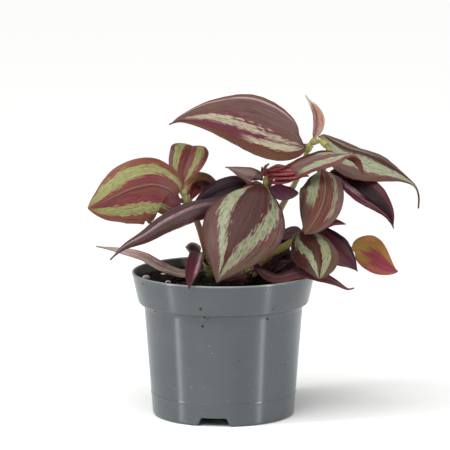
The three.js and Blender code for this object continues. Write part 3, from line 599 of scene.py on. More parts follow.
def ways_between(ways, u):
    """The way that the upper side looks at each share of the length, evenly between the row's ways."""
    f = np.atleast_2d(np.array(ways, float))
    f = np.broadcast_to(f, (max(2, len(f)), 3))
    place = u * (len(f) - 1)
    i = np.minimum(np.floor(place).astype(int), len(f) - 2)
    return unit(f[i] + (f[i + 1] - f[i]) * (place - i)[:, None])


def blade(row, start, settings, along, across):
    """A leaf's closed blade with its marks: share of length and width and upper side, and place.

    The middle layer is the midrib's line plus each half, folded up by its angle and curled down again by
    the square of the share of its width, with slow waves that grow towards the margin. It is creased
    along the midrib and quilted between the veins. Both faces stand off it by half the thickness, which
    falls away at the margin like the side of a flat circle.
    """
    t = np.linspace(0, 1, along)
    u = t - SLICE_EASE * np.sin(2 * np.pi * t) / (2 * np.pi)
    v = np.sin(np.linspace(-np.pi / 2, np.pi / 2, across)) * 0.35 + np.linspace(-1, 1, across) * 0.65
    place, way, length = line_at([start, *row["rib"]], u)
    side = unit(np.cross(ways_between(row["face"], u), way))
    up = np.cross(way, side)
    left, right = half_widths(row, u, length)
    half = np.where(v > 0, left[:, None], right[:, None])
    fold = np.radians(np.where(v > 0, *row["fold"]))
    phase = np.where(v > 0, *WAVE_START)
    s = np.abs(v)
    reach = s * half
    run = u[:, None]
    end = np.sin(np.pi * run)
    waves = settings.wave_height * np.sin(WAVE_TURNS * 2 * np.pi * run + phase) * s**2 * end
    ruffles = np.sin(RUFFLES * run * length / RUFFLE_SPAN * np.pi + 2.1 * phase)
    waves += settings.ruffle * ruffles * s**6 * end
    waves += settings.vein_depth * np.cos(2 * np.pi * settings.vein_count * s) * (1 - s**4) * end
    waves -= settings.rib_depth * np.exp(-(reach / GROOVE_WIDTH) ** 2) * np.minimum(1, 2 * end)
    waves *= np.minimum(1, half / WAVE_FULL_WIDTH) / MM
    out = (np.sign(v) * reach * np.cos(fold))[..., None]
    lift = (reach * np.sin(fold) - CURL * s**2 * reach)[..., None]
    flat = place[:, None] + side[:, None] * out + up[:, None] * lift
    middle = flat + up[:, None] * waves[..., None]
    normal = unit(np.cross(np.gradient(flat, axis=0), np.gradient(flat, axis=1)))
    off = normal * (settings.thickness / MM / 2 * np.sqrt(np.maximum(0, 1 - s**6)) + MARGIN)[:, None]
    points = np.concatenate([middle + off, (middle - off)[:, ::-1]], axis=1)
    ring = 2 * across
    j = np.arange(across - 1)
    foot = np.stack([j, j + 1, ring - 2 - j, ring - 1 - j], -1)
    tip = foot[:, ::-1] + (along - 1) * ring
    across_all = np.concatenate([v, v[::-1]])
    share = joined(run, across_all, np.repeat([1, 0], across))
    spot = joined(run * length, across_all * max(row["halves"]), 0)
    return points, [sheet_faces(along, ring, wrap=True), foot, tip], share, spot


def sheath(centre, axis, out, bore, wall):
    """A short sleeve round the stem with a flared, slanting mouth and fine ribs.

    Its wall's outline is a closed loop of radius and height, carried round the stem's line.
    """
    half = SHEATH_LENGTH / 2
    skin = bore - GAP
    loop = np.array([
        (skin + 0.03, -half), (skin + 0.22, -half + 0.05), (bore + wall * 0.4, -half + 0.8),
        (bore + wall * 0.55, 0), (bore + wall * 0.6, half - 0.8),
        (bore + wall * 0.7 + SHEATH_FLARE / 2, half - 0.15), (bore + wall * 0.45 + SHEATH_FLARE, half),
        (bore + SHEATH_FLARE / 2, half - 0.1), (bore - 0.05, 0),
    ])
    radius, height = loop.T
    turn = turns(SHEATH_SIDES)[:, None]
    ring = circle(out, np.cross(axis, out), turn[:, 0])[:, None]
    ribbed = radius + 0.05 * np.cos(SHEATH_RIBS * turn) * (radius > bore + 0.3)
    points = centre + ring * ribbed[..., None] + axis * height[:, None]
    faces = sheet_faces(SHEATH_SIDES + 1, len(loop), wrap=True) % (SHEATH_SIDES * len(loop))
    return points, [faces], joined(0 * radius, np.cos(turn), 2), joined(height, turn * bore, 0)


def leaf_seat(row):
    """The middle of a leaf's sheath, the stem's direction there, the way out to the blade and the bore."""
    place, way, radius, _, _ = stem_shape(STEMS[row["stem"]], np.array([row["at"]]))
    out = row["rib"][0] - place[0]
    return place[0], way[0], unit(out - way[0] * (out @ way[0])), radius[0] + GAP


def lumps(random, places, sizes, flat=0.5):
    """Rough grains of twenty faces each: a solid of twelve corners, stretched, turned and dented."""
    g = (1 + 5**0.5) / 2
    first = [(-1, g, 0), (1, g, 0), (-1, -g, 0), (1, -g, 0)]
    corners = np.vstack([np.roll(first, k, 1) for k in range(3)]) / (1 + g * g) ** 0.5
    triangles = np.array([(0, 11, 5), (0, 5, 1), (0, 1, 7), (0, 7, 10), (0, 10, 11), (1, 5, 9), (5, 11, 4),
                          (11, 10, 2), (10, 7, 6), (7, 1, 8), (3, 9, 4), (3, 4, 2), (3, 2, 6), (3, 6, 8),
                          (3, 8, 9), (4, 9, 5), (2, 4, 11), (6, 2, 10), (8, 6, 7), (9, 8, 1)])
    n = len(places)
    turned = np.linalg.qr(random.normal(size=(n, 3, 3)))[0]
    turned[np.linalg.det(turned) < 0, :, 0] *= -1
    stretch = random.uniform(flat, 1.2, (n, 1, 3)) * random.uniform(0.8, 1.15, (n, 12, 1))
    points = (corners * stretch) @ turned * sizes[:, None, None] + places[:, None]
    return points, [(triangles + 12 * np.arange(n)[:, None, None]).reshape(-1, 3)]


def bristles(random, roots, ways, lengths, thickness):
    """Fine tapering hairs: three-sided cones of four rings, each bent a little to one side."""
    n = len(roots)
    step = np.linspace(0, 1, 4)
    bend = unit(random.normal(size=(n, 3))) * 0.3
    run = (lengths[:, None] * step)[..., None]
    line = roots[:, None] + ways[:, None] * run + bend[:, None] * run * step[:, None]
    first = unit(np.cross(ways, random.normal(size=(n, 3))))
    ring = circle(first, np.cross(ways, first), turns(3))
    points = line[:, :, None] + (thickness * (1 - 0.85 * step))[:, None, None] * ring[:, None]
    start = 12 * np.arange(n)[:, None]
    faces = sheet_faces(4, 3, wrap=True)[:, [0, 3, 2, 1]] + start[:, None]
    return points, [faces.reshape(-1, 4), start + [0, 2, 1], start + [9, 10, 11]]


# Finishes

class Wiring:
    """Adds shader nodes to one tree and joins them, so that a pattern reads as steps of arithmetic."""

    def __init__(self, tree):
        self.tree = tree

    def put(self, socket, value):
        if isinstance(value, str):
            value = linear(value)
        if isinstance(value, bpy.types.NodeSocket):
            self.tree.links.new(value, socket)
        elif hasattr(value, "__len__") and len(value) < len(socket.default_value):
            socket.default_value = (*value, 1)
        else:
            socket.default_value = value

    def fill(self, node, *given, **named):
        """Sets the node's own settings, its inputs named in capitals, and its first inputs in order."""
        for name, value in named.items():
            if name[0].isupper():
                self.put(node.inputs[name.replace("_", " ")], value)
            else:
                setattr(node, name, value)
        for socket, value in zip(node.inputs, given):
            self.put(socket, value)
        return node

    def add(self, kind, *given, **named):
        return self.fill(self.tree.nodes.new("ShaderNode" + kind), *given, **named)

    def maths(self, operation, *values):
        return self.add("Math", *values, operation=operation).outputs[0]

    def product(self, first, *others):
        for other in others:
            first = self.maths("MULTIPLY", first, other)
        return first

    def smooth(self, value, low, high, before=0, after=1):
        """A smooth step from before to after, while the value goes from low to high."""
        return self.add("MapRange", value, low, high, before, after,
                        interpolation_type="SMOOTHSTEP").outputs[0]

    def mix(self, share, a, b, blend="MIX"):
        node = self.add("Mix", share, data_type="RGBA", blend_type=blend)
        self.put(node.inputs[6], a)
        self.put(node.inputs[7], b)
        return node.outputs[2]

    def split(self, vector):
        return self.add("SeparateXYZ", vector).outputs

    def attribute(self, name):
        return self.add("Attribute", attribute_name=name).outputs["Vector"]

    def place(self):
        return self.add("TexCoord").outputs["Object"]

    def noise(self, vector, factors, detail=2, roughness=0.5):
        """A noise's three independent parts. The factors are its fineness along each way, or along all."""
        scaled = self.add("VectorMath", vector, np.broadcast_to(factors, 3), operation="MULTIPLY")
        node = self.add("TexNoise", Vector=scaled.outputs[0], Scale=1, Detail=detail, Roughness=roughness)
        return self.add("SeparateColor", node.outputs["Color"]).outputs


class Finish(Wiring):
    """A new material. Its shader's constants are set first, and done() joins its colour and relief."""

    def __init__(self, name, roughness, specular=0.5, **constants):
        self.material = bpy.data.materials.new(name)
        self.material.use_nodes = True
        super().__init__(self.material.node_tree)
        self.shader = self.tree.nodes["Principled BSDF"]
        self.fill(self.shader, Roughness=roughness, Specular_IOR_Level=specular, **constants)

    def done(self, colour, height=None, strength=0, depth=0):
        self.fill(self.shader, Base_Color=colour)
        if height is not None:
            bump = self.add("Bump", Strength=strength, Distance=depth * MM, Height=height)
            self.fill(self.shader, Normal=bump.outputs[0])
        return self.material


MARKING_COLOURS = ("Centre", "Stripe", "Outer Left", "Outer Right", "Edge", "Rib", "Base", "Tip", "Under")
STRIPE_NUMBERS = ("Foot", "Head", "Foot Width", "Head Width", "Start", "End", "Strength")
MARKING_NUMBERS = (*(side + name for side in ("Right ", "Left ") for name in STRIPE_NUMBERS),
                   "Base End", "Tip Start", "Shine Place", "Shine Strength", "Seed")
MEMBRANE = (0.34, 0.31, 0.1)
# Pale pink of the painted highlight streak along a vein
PAINTED_HIGHLIGHT_TINT = (0.46, 0.33, 0.33)
VEIN_BANDS = 8


def leaf_markings():
    """The group of nodes that draws a leaf's bands along its veins.

    A stripe lies where its half width is more than the distance from its middle, with noise added that
    is drawn out along the leaf. The noise makes its ragged edge and the flecks on both sides of it.
    """
    tree = bpy.data.node_groups.new("Leaf markings", "ShaderNodeTree")
    for way, kind, names in (("INPUT", "Color", MARKING_COLOURS), ("INPUT", "Float", MARKING_NUMBERS),
                             ("OUTPUT", "Color", ("Colour",)), ("OUTPUT", "Float", ("Height",))):
        for name in names:
            tree.interface.new_socket(name, in_out=way, socket_type="NodeSocket" + kind)
    given = tree.nodes.new("NodeGroupInput").outputs
    result = tree.nodes.new("NodeGroupOutput")
    w = Wiring(tree)
    m = w.maths
    u, v, face = w.split(w.attribute("share"))
    seed = w.add("CombineXYZ", 0, 0, given["Seed"]).outputs[0]
    spot = w.add("VectorMath", w.attribute("spot"), seed, operation="ADD").outputs[0]
    s = m("ABSOLUTE", v)
    left = m("GREATER_THAN", v, 0)
    fine = w.noise(spot, (0.11, 1.25, 1), 4, 0.62)
    broad = w.noise(spot, (0.05, 0.2, 1))
    dapple = w.noise(spot, (0.32, 1.15, 1), 3, 0.6)

    def shaken(value, part, amount):
        return m("ADD", value, m("MULTIPLY_ADD", part, amount, -amount / 2))

    def washed(colour, *washes):
        for part, low, high, amount, tint in washes:
            colour = w.mix(w.smooth(part, low, high, 0, amount), colour, tint, "MULTIPLY")
        return colour

    def chosen(name):
        right = given["Right " + name]
        return m("MULTIPLY_ADD", m("SUBTRACT", given["Left " + name], right), left, right)

    def along(foot, head):
        return m("MULTIPLY_ADD", m("SUBTRACT", chosen(head), chosen(foot)), u, chosen(foot))

    middle, width = along("Foot", "Head"), along("Foot Width", "Head Width")
    start, end = chosen("Start"), chosen("End")
    off_middle = m("ABSOLUTE", m("SUBTRACT", shaken(s, broad[0], 0.2), middle))
    ragged = shaken(shaken(m("SUBTRACT", width, off_middle), fine[0], 0.36), dapple[0], 0.34)
    streaky = shaken(u, fine[2], 0.35)
    begun = w.smooth(streaky, m("SUBTRACT", start, 0.03), m("ADD", start, 0.1))
    unended = w.smooth(streaky, m("SUBTRACT", end, 0.08), m("ADD", end, 0.04), 1, 0)
    lasts = w.product(begun, unended, w.smooth(width, 0.01, 0.03))
    stripe = w.product(w.smooth(ragged, -0.03, 0.04), lasts, chosen("Strength"))
    border = w.product(w.smooth(ragged, -0.16, -0.03), m("SUBTRACT", 1, stripe), lasts, 0.85)
    past = w.smooth(shaken(s, fine[1], 0.3), m("SUBTRACT", middle, 0.02), m("ADD", middle, 0.14))
    ground = w.mix(past, given["Centre"], w.mix(left, given["Outer Right"], given["Outer Left"]))
    ground = washed(ground, (broad[1], 0.48, 0.64, 0.6, (0.95, 1.2, 0.7)),
                    (broad[2], 0.48, 0.64, 0.6, (1.0, 0.6, 0.85)),
                    (fine[1], 0.48, 0.66, 0.75, (0.55, 0.42, 0.42)),
                    (fine[2], 0.5, 0.7, 0.6, (1.35, 1.2, 1.2)))
    ground = w.mix(border, ground, (1.25, 0.5, 1.0), "MULTIPLY")
    pale = washed(given["Stripe"], (dapple[1], 0.42, 0.62, 0.65, (0.62, 0.7, 0.52)),
                  (broad[2], 0.5, 0.7, 0.4, (1.05, 0.8, 0.85)),
                  (fine[1], 0.5, 0.7, 0.5, (1.3, 1.25, 1.3)))
    pale = w.mix(w.smooth(dapple[2], 0.52, 0.66, 0, 0.6), pale, given["Centre"])
    colour = w.mix(stripe, ground, pale)
    vein = w.smooth(m("PINGPONG", m("MULTIPLY", s, VEIN_BANDS), 0.5), 0, 0.14)
    no_vein = m("SUBTRACT", 1, vein)
    colour = w.mix(m("MULTIPLY", no_vein, 0.3), colour, (0.5, 0.38, 0.4), "MULTIPLY")
    colour = w.mix(w.smooth(shaken(s, fine[0], 0.1), 0.9, 0.99, 0, 0.8), colour, given["Edge"])
    # Painted highlight: a pale streak along the vein at the given place, mixed towards pale pink where the
    # leaf would catch the light
    off_shine = m("ABSOLUTE", m("SUBTRACT", m("MULTIPLY_ADD", fine[0], 0.03, v), given["Shine Place"]))
    painted_highlight_mask = w.product(w.smooth(off_shine, 0, 0.045, 1, 0), given["Shine Strength"],
                      w.smooth(broad[1], 0.2, 0.42), w.smooth(u, 0.02, 0.2))
    colour = w.mix(painted_highlight_mask, colour, PAINTED_HIGHLIGHT_TINT)
    colour = w.mix(w.smooth(s, 0.012, 0.05, 0.6, 0), colour, given["Rib"])
    base_end, tip_start = given["Base End"], given["Tip Start"]
    base = w.smooth(streaky, m("MULTIPLY", base_end, 0.4), base_end, 0.85, 0)
    colour = w.mix(base, colour, given["Base"])
    tip = w.smooth(streaky, tip_start, m("ADD", tip_start, 0.12), 0, 0.8)
    colour = w.mix(tip, colour, given["Tip"])
    below = washed(given["Under"], (fine[0], 0.42, 0.68, 0.6, (1.6, 1.35, 1.35)),
                   (broad[0], 0.45, 0.65, 0.5, (0.7, 0.55, 0.6)))
    below = w.mix(m("MULTIPLY", no_vein, 0.4), below, (0.55, 0.5, 0.55), "MULTIPLY")
    colour = w.mix(w.smooth(face, 0.45, 0.55), below, colour)
    membrane = w.mix(w.smooth(fine[0], 0.45, 0.62, 0, 0.55), MEMBRANE, given["Base"])
    colour = w.mix(w.smooth(face, 1.4, 1.6), colour, membrane)
    relief = m("MULTIPLY_ADD", fine[0], 0.6, m("MULTIPLY", dapple[1], 0.5))
    w.fill(result, colour, m("ADD", m("MULTIPLY", vein, 0.5), relief))


def leaf_finish(name, row, settings, number):
    """A leaf's finish: its markings in its own colours, with a soft sheen and fine relief."""
    w = Finish(name + " finish", settings.gloss, 0.2)
    colours = (getattr(settings, tone) for tone in row["skin"].split())
    stripes = (number for side in ("right", "left") for number in (*row[side], 1)[:len(STRIPE_NUMBERS)])
    group = w.add("Group", *colours, *stripes, *row["reach"], *row["shine"], MARKING_STEP * number,
                  node_tree=bpy.data.node_groups["Leaf markings"])
    return w.done(group.outputs["Colour"], group.outputs["Height"], 0.7, 0.12)


def stem_finish(name, tones, settings):
    """A stem's skin: three colours along it, streaked lengthwise, darker and greener at the nodes."""
    w = Finish(name + " skin", 0.38)
    u, _, node = w.split(w.attribute("share"))
    fine = w.noise(w.attribute("spot"), (0.12, 1.6, 1), 3)
    foot, middle, tip = (getattr(settings, tone) for tone in tones.split())
    colour = w.mix(w.smooth(u, 0.2, 0.45), foot, middle)
    colour = w.mix(w.smooth(u, 0.75, 0.92), colour, tip)
    colour = w.mix(w.smooth(fine[0], 0.4, 0.7, 0, 0.6), colour, (0.6, 0.45, 0.4), "MULTIPLY")
    colour = w.mix(w.smooth(node, 0.5, 1, 0, 0.5), colour, settings.lime)
    return w.done(colour, fine[1], 0.4, 0.15)


def pot_finish(colour, rim, top):
    """Grey moulded plastic: a fine grain with faint flow marks, pale dust and rubbed spots.

    Inside, wherever the distance to the axis is less than the wall's, painted shade and a thin coat of damp
    soil darken it.
    """
    w = Finish("grey nursery plastic", 0.3, 0.8, Anisotropic=1, Anisotropic_Rotation=0.25)
    m = w.maths
    place = w.place()
    flow = w.noise(place, (160, 160, 700), 3)
    grain = w.noise(place, 2600)
    cloud = w.noise(place, (45, 45, 60), 3)
    dust = w.noise(place, 950, 1)
    paler = w.mix(1, colour, (1.3, 1.3, 1.28), "MULTIPLY")
    mixed = w.mix(w.smooth(flow[0], 0.4, 0.7, 0, 0.35), colour, (0.8, 0.81, 0.82), "MULTIPLY")
    mixed = w.mix(w.smooth(cloud[0], 0.48, 0.75, 0, 0.35), mixed, paler)
    mixed = w.mix(w.smooth(dust[0], 0.76, 0.82, 0, 0.6), mixed, "#b9bcb9")
    x, y, z = w.split(place)
    squares = (m("POWER", m("SUBTRACT", part, middle), 2) for part, middle in zip((x, y), AXIS))
    inner = m("MULTIPLY_ADD", z, COLLAR_SLOPE, (rim - 0.6 - COLLAR_SLOPE * top) * MM)
    inside = w.product(m("LESS_THAN", m("SQRT", m("ADD", *squares)), inner),
                       m("LESS_THAN", z, (top - 0.8) * MM),
                       m("GREATER_THAN", z, (top - COLLAR_DEPTH + 1) * MM), 0.9)
    # Painted highlight: the top of the rim is mixed towards a pale grey
    mixed = w.mix(w.smooth(z, (top - 1.1) * MM, (top - 0.3) * MM, 0, 0.55), mixed, "#8f9493")
    # Painted shade inside the pot, together with a thin coat of damp soil: the inner wall is mixed towards
    # near black
    shade_and_soil_film = w.mix(w.smooth(cloud[2], 0.4, 0.6), "#1d1a18", "#3a3632")
    roughness = m("MULTIPLY_ADD", cloud[1], 0.08, m("MULTIPLY_ADD", flow[1], 0.08, 0.22))
    tangent = w.add("Tangent", direction_type="RADIAL", axis="Z").outputs[0]
    w.fill(w.shader, Roughness=roughness, Tangent=tangent)
    height = m("MULTIPLY_ADD", grain[0], 0.3, m("MULTIPLY", flow[1], 0.4))
    return w.done(w.mix(inside, mixed, shade_and_soil_film), height, 0.2, 0.1)


def soil_finish(name, dark, light, scale=1):
    """Potting mix: near black, with brown fibres and a few pale flecks."""
    w = Finish(name, 0.92, 0.25)
    place = w.place()
    crumb = w.noise(place, 900 * scale, 4, 0.65)
    fleck = w.noise(place, (1700 * scale, 600 * scale, 1700 * scale))
    colour = w.mix(w.smooth(crumb[0], 0.42, 0.7), dark, light)
    bright = w.mix(1, light, (2.4, 2.1, 1.8), "MULTIPLY")
    return w.done(w.mix(w.smooth(fleck[0], 0.66, 0.74, 0, 0.7), colour, bright), crumb[1], 0.8, 0.5)


def grain_finish():
    """Perlite: a warm off-white, pitted and a little stained by the soil."""
    w = Finish("perlite", 0.9, 0.2)
    place = w.place()
    stain = w.smooth(w.noise(place, 500)[0], 0.45, 0.7, 0, 0.6)
    return w.done(w.mix(stain, "#cdbfae", "#7d6852"), w.noise(place, 1500, 3)[0], 0.7, 0.3)


def hair_finish():
    """Fine white hairs."""
    w = Finish("fine hairs", 0.5, 0.3)
    return w.done(w.mix(w.noise(w.place(), 900)[0], "#cfc6b8", "#e9e4da"))


# Settings

def number_of(name, about, default, **more):
    return bpy.props.FloatProperty(name=name, description=about, default=default, min=0, **more)


def length_of(name, about, default):
    return number_of(name, about, default, unit="LENGTH", precision=5)


def count_of(name, about, default):
    return bpy.props.IntProperty(name=name, description=about, default=default, min=0, subtype="UNSIGNED")


def tone_of(name, about, code):
    return bpy.props.FloatVectorProperty(name=name, description=about, default=linear(code), size=3,
                                         min=0, max=1, subtype="COLOR")


def group_of(name, about, kind):
    return bpy.props.PointerProperty(name=name, description=about, type=kind)


class PotSettings(bpy.types.PropertyGroup):
    rim_radius: length_of("Rim Radius", "Outer radius of the pot at its rim", 0.045)
    height: length_of("Height", "Height of the pot", 0.071)
    wall: length_of("Wall", "Thickness of the plastic", 0.0011)
    tone: tone_of("Plastic", "Colour of the plastic", "#41474b")


class SoilSettings(bpy.types.PropertyGroup):
    crumbs: count_of("Crumbs", "Number of loose crumbs on the soil", 1500)
    fibres: count_of("Fibres", "Number of fibres on the soil", 90)
    dark: tone_of("Dark", "Colour of the damp mix", "#0c0907")
    light: tone_of("Light", "Colour of its drier bits", "#2a1f17")


class StemSettings(bpy.types.PropertyGroup):
    hair_length: length_of("Hair Length", "Length of the hairs at the mouths of the sheaths", 0.0018)
    hair_width: length_of("Hair Width", "Radius of a hair at its root", 0.00006)
    lime: tone_of("Lime", "Green of the nodes and young stems", "#928c42")
    brick: tone_of("Brick", "Red brown of the older stems", "#8a5b3e")
    straw: tone_of("Straw", "Pale yellow of the shaded stems", "#a99a6c")


class LeafSettings(bpy.types.PropertyGroup):
    """The form of the leaves, and their colours from the table"""

    thickness: length_of("Thickness", "Thickness of a blade", 0.00056)
    wave_height: length_of("Wave Height", "Height of the slow waves at the margin", 0.0005)
    ruffle: length_of("Ruffle", "Height of the small waves at the margin", 0.00012)
    rib_depth: length_of("Rib Depth", "Depth of the groove along the midrib", 0.0003)
    vein_depth: length_of("Vein Depth", "Depth of the furrows between the veins", 0.00006)
    vein_count: count_of("Veins", "Veins on each half of a leaf", 5)
    sheath_wall: length_of("Sheath Wall", "Thickness of a sheath's wall", 0.0007)
    gloss: number_of("Roughness", "Roughness of the leaves' skin", 0.4, max=1, subtype="FACTOR")


for tone, (code, about) in LEAF_TONES.items():
    LeafSettings.__annotations__[tone] = tone_of(tone.title(), about, code)


class StageSettings(bpy.types.PropertyGroup):
    floor: tone_of("Floor", "Colour of the floor", "#fefefd")
    surround: number_of("Surround", "Light from the white surround", 0.3, subtype="FACTOR")
    overhead: number_of("Overhead", "Strength of the wide soft light overhead", 2.58)
    left: number_of("Left", "Power of the tall light at the left", 6.5, unit="POWER")
    right: number_of("Right", "Power of the tall light at the right", 6.0, unit="POWER")


class PlantSettings(bpy.types.PropertyGroup):
    pot: group_of("Pot", "The pot", PotSettings)
    soil: group_of("Soil", "The potting mix", SoilSettings)
    stems: group_of("Stems", "The stems", StemSettings)
    leaves: group_of("Leaves", "The leaves", LeafSettings)
    stage: group_of("Stage", "Floor and light", StageSettings)


# Makers

def rounded(profile, amount, steps=5):
    """A profile whose corners are cut back by the amount and bridged by a parabola."""
    p = np.array(profile, float)
    out = [p[:1]]
    t = np.linspace(0, 1, steps)[:, None]
    for before, here, after in zip(p, p[1:], p[2:]):
        a, b = (here + way * min(0.45, amount / max(np.linalg.norm(way), 1e-6))
                for way in (before - here, after - here))
        out.append((1 - t) ** 2 * a + 2 * t * (1 - t) * here + t**2 * b)
    return np.vstack(out + [p[-1:]])


class PLANT_OT_pot(bpy.types.Operator):
    """Make the pot: a turned shell with a collar, notches in its foot and holes in its floor"""

    bl_idname = "plant.pot"
    bl_label = "Pot"

    def execute(self, context):
        settings = context.scene.inch_plant.pot
        rim, top, wall = settings.rim_radius / MM, settings.height / MM, settings.wall / MM
        collar, body_top, body_foot, foot = (rim - depth for depth in
                                             (COLLAR_IN, BODY_TOP_IN, BODY_FOOT_IN, FOOT_IN))
        step = top - COLLAR_DEPTH
        bead = body_foot + (body_top - body_foot) * (BEAD - 1.6) / (step - 2.6)
        ring = rounded([
            (foot - 8, FLOOR), (foot - wall - 0.5, FLOOR), (foot - wall, 0), (foot, 0),
            (body_foot - 0.3, 0.5), (body_foot, 1.6), (bead - 0.05, BEAD - 0.6), (bead + 0.22, BEAD),
            (bead + 0.05, BEAD + 0.6), (body_top, step - 2.6), (body_top + 0.7, step - 0.9),
            (collar - 0.8, step - 0.4), (collar, step + 0.5), (rim - 0.35, top - 2.0), (rim, top - 1.2),
            (rim, top - 0.3), (rim - 0.4, top), (rim - wall, top - 0.15), (collar - wall, step + 1.4),
            (body_top - wall, step - 1.6), (body_foot + 0.3 - wall, FLOOR + wall), (foot - 8, FLOOR + wall),
        ], CORNER)
        # The profile is carried round the axis. In a notch a smooth step lifts every point of the foot
        turn = turns(POT_SIDES)
        sector = 360 / NOTCHES
        away = np.abs((np.degrees(turn) + NOTCH_TURN + sector / 2) % sector - sector / 2)
        notch = NOTCH_HEIGHT * (1 - smooth_step(np.radians(away) * foot, *NOTCH_HALF))
        height = np.maximum(ring[:, 1:], np.where(ring[:, 1:] < FLOOR - 0.2, notch, -1))
        points = round_axis(ring[:, :1], turn, height).reshape(-1, 3)
        n = len(points)
        one = np.arange(POT_SIDES)
        two = (one + 1) % POT_SIDES
        last = n - POT_SIDES
        points = np.vstack([points, [(0, 0, FLOOR), (0, 0, FLOOR + wall)]])
        faces = (sheet_faces(len(ring), POT_SIDES, wrap=True)[:, ::-1], joined(n, two, one),
                 joined(n + 1, last + one, last + two))
        finish = pot_finish(settings.tone, rim, top)
        self.cut_drain_holes(context, piece("nursery_pot", finish, "pot", [(points, faces)], "pot"))
        return {"FINISHED"}

    def cut_drain_holes(self, context, pot):
        """Takes upright cylinders out of the floor, and keeps the result as the pot's mesh."""
        bars = []
        for angle in np.radians((np.arange(HOLES) + 0.5) * 360 / HOLES - NOTCH_TURN):
            x, y = HOLE_RING * np.cos(angle), HOLE_RING * np.sin(angle)
            line = np.array([(x, y, FLOOR - 3), (x, y, FLOOR + 3)])
            up, radius = np.array([(0, 0, 1)] * 2), np.full(2, HOLE_RADIUS)
            bars.append(tube(line, up, radius, (0, 1, 0), HOLE_SIDES))
        tool = piece("drain_cutter", pot.data.materials[0], "pot", bars)
        hole = pot.modifiers.new("drain holes", "BOOLEAN")
        hole.object, hole.operation, hole.solver = tool, "DIFFERENCE", "MANIFOLD"
        cut = bpy.data.meshes.new_from_object(pot.evaluated_get(context.evaluated_depsgraph_get()))
        pot.modifiers.clear()
        pot.data = cut
        cut.polygons.foreach_set("use_smooth", np.ones(len(cut.polygons), bool))
        cut.set_sharp_from_angle(angle=np.radians(SHARP_ANGLE))
        bpy.data.objects.remove(tool)


class PLANT_OT_soil(bpy.types.Operator):
    """Make the soil: a lumpy bed that fills the pot, with loose crumbs and fibres on it"""

    bl_idname = "plant.soil"
    bl_label = "Soil"

    def execute(self, context):
        settings, pot = context.scene.inch_plant.soil, context.scene.inch_plant.pot
        random = np.random.default_rng(SOIL_SEED)
        wall, top = pot.wall / MM, pot.height / MM
        inner, floor, step = pot.rim_radius / MM - wall - GAP, FLOOR + wall + GAP, top - COLLAR_DEPTH
        collar = (inner - COLLAR_IN, step + 1.4)
        edge = collar[0] + (SOIL_LEVEL - collar[1]) / (top - collar[1]) * (inner - collar[0])
        turn = turns(SOIL_SIDES)
        share = np.linspace(0.004, 1, SOIL_RINGS)[:, None]
        x, y = edge * share * np.sin(turn), -edge * share * np.cos(turn)
        # The mound carries sines in random directions, the finer the lower, that fade out at the wall
        ways = random.normal(size=(SMALL_LUMPS, 2)) * np.geomspace(0.7, 3.4, SMALL_LUMPS)[:, None]
        phases = random.uniform(0, 2 * np.pi, SMALL_LUMPS)
        small = np.sin(joined(x, y) @ ways.T + phases) @ np.geomspace(0.2, 0.06, SMALL_LUMPS)
        z = soil_height(x, y) + small * smooth_step(1 - share, 0, 0.06) * SMALL_LUMP_DEPTH
        z = z + (SOIL_LEVEL - z) * smooth_step(share, 0.97, 1)
        side = np.array([collar, (inner - BODY_TOP_IN, step - 1.6), (inner - BODY_FOOT_IN + 0.3, floor),
                         (0.2, floor)])
        bed = (np.vstack([joined(x, y, z), round_axis(side[:, :1], turn, side[:, 1:])]),
               closed_faces(SOIL_RINGS + len(side), SOIL_SIDES))
        tones = (settings.dark, settings.light)
        piece("potting_mix", soil_finish("damp mix", *tones), "soil", [bed], "soil")

        # Crumbs lie evenly on a disc, because their distance is the root of an even draw
        count = settings.crumbs
        radius = (edge - 1.2) * np.sqrt(random.uniform(0, 1, count))
        angle = random.uniform(0, 2 * np.pi, count)
        x, y = radius * np.sin(angle), radius * np.cos(angle)
        sizes = random.gamma(2.2, 0.28, count).clip(*CRUMB_SIZES)
        crumbs = lumps(random, joined(x, y, soil_height(x, y) + 0.25 * sizes), sizes)
        piece("soil_crumbs", soil_finish("loose crumbs", *tones, 1.6), "soil", [crumbs])
        self.fibres(settings.fibres, edge, random)
        return {"FINISHED"}

    def fibres(self, count, edge, random):
        """Short brown fibres that lie on the soil, each a thin bar on a bent line."""
        strands = []
        t = np.linspace(-1, 1, 7)
        for _ in range(count):
            r, a = (edge - 6) * random.uniform() ** 0.5, random.uniform(0, 2 * np.pi)
            way, reach, bend = random.uniform([0, 1.5, -1.2], [2 * np.pi, 4.5, 1.2])
            x = r * np.sin(a) + reach * t * np.cos(way) - bend * t**2 * np.sin(way)
            y = r * np.cos(a) + reach * t * np.sin(way) + bend * t**2 * np.cos(way)
            keep = np.minimum(1, (edge - 1) / np.maximum(np.hypot(x, y), 1e-6))
            x, y = x * keep, y * keep
            line = joined(x, y, soil_height(x, y) + 0.55 + 0.3 * (1 - t**2))
            radius = random.uniform(0.08, 0.2) * np.array([0.5, 0.9, 1, 1, 1, 0.9, 0.5])
            strands.append(tube(line, unit(np.gradient(line, axis=0)), radius, (0, 0, 1), 4))
        piece("soil_fibres", soil_finish("brown fibres", "#33241a", "#5c442f"), "soil", strands)


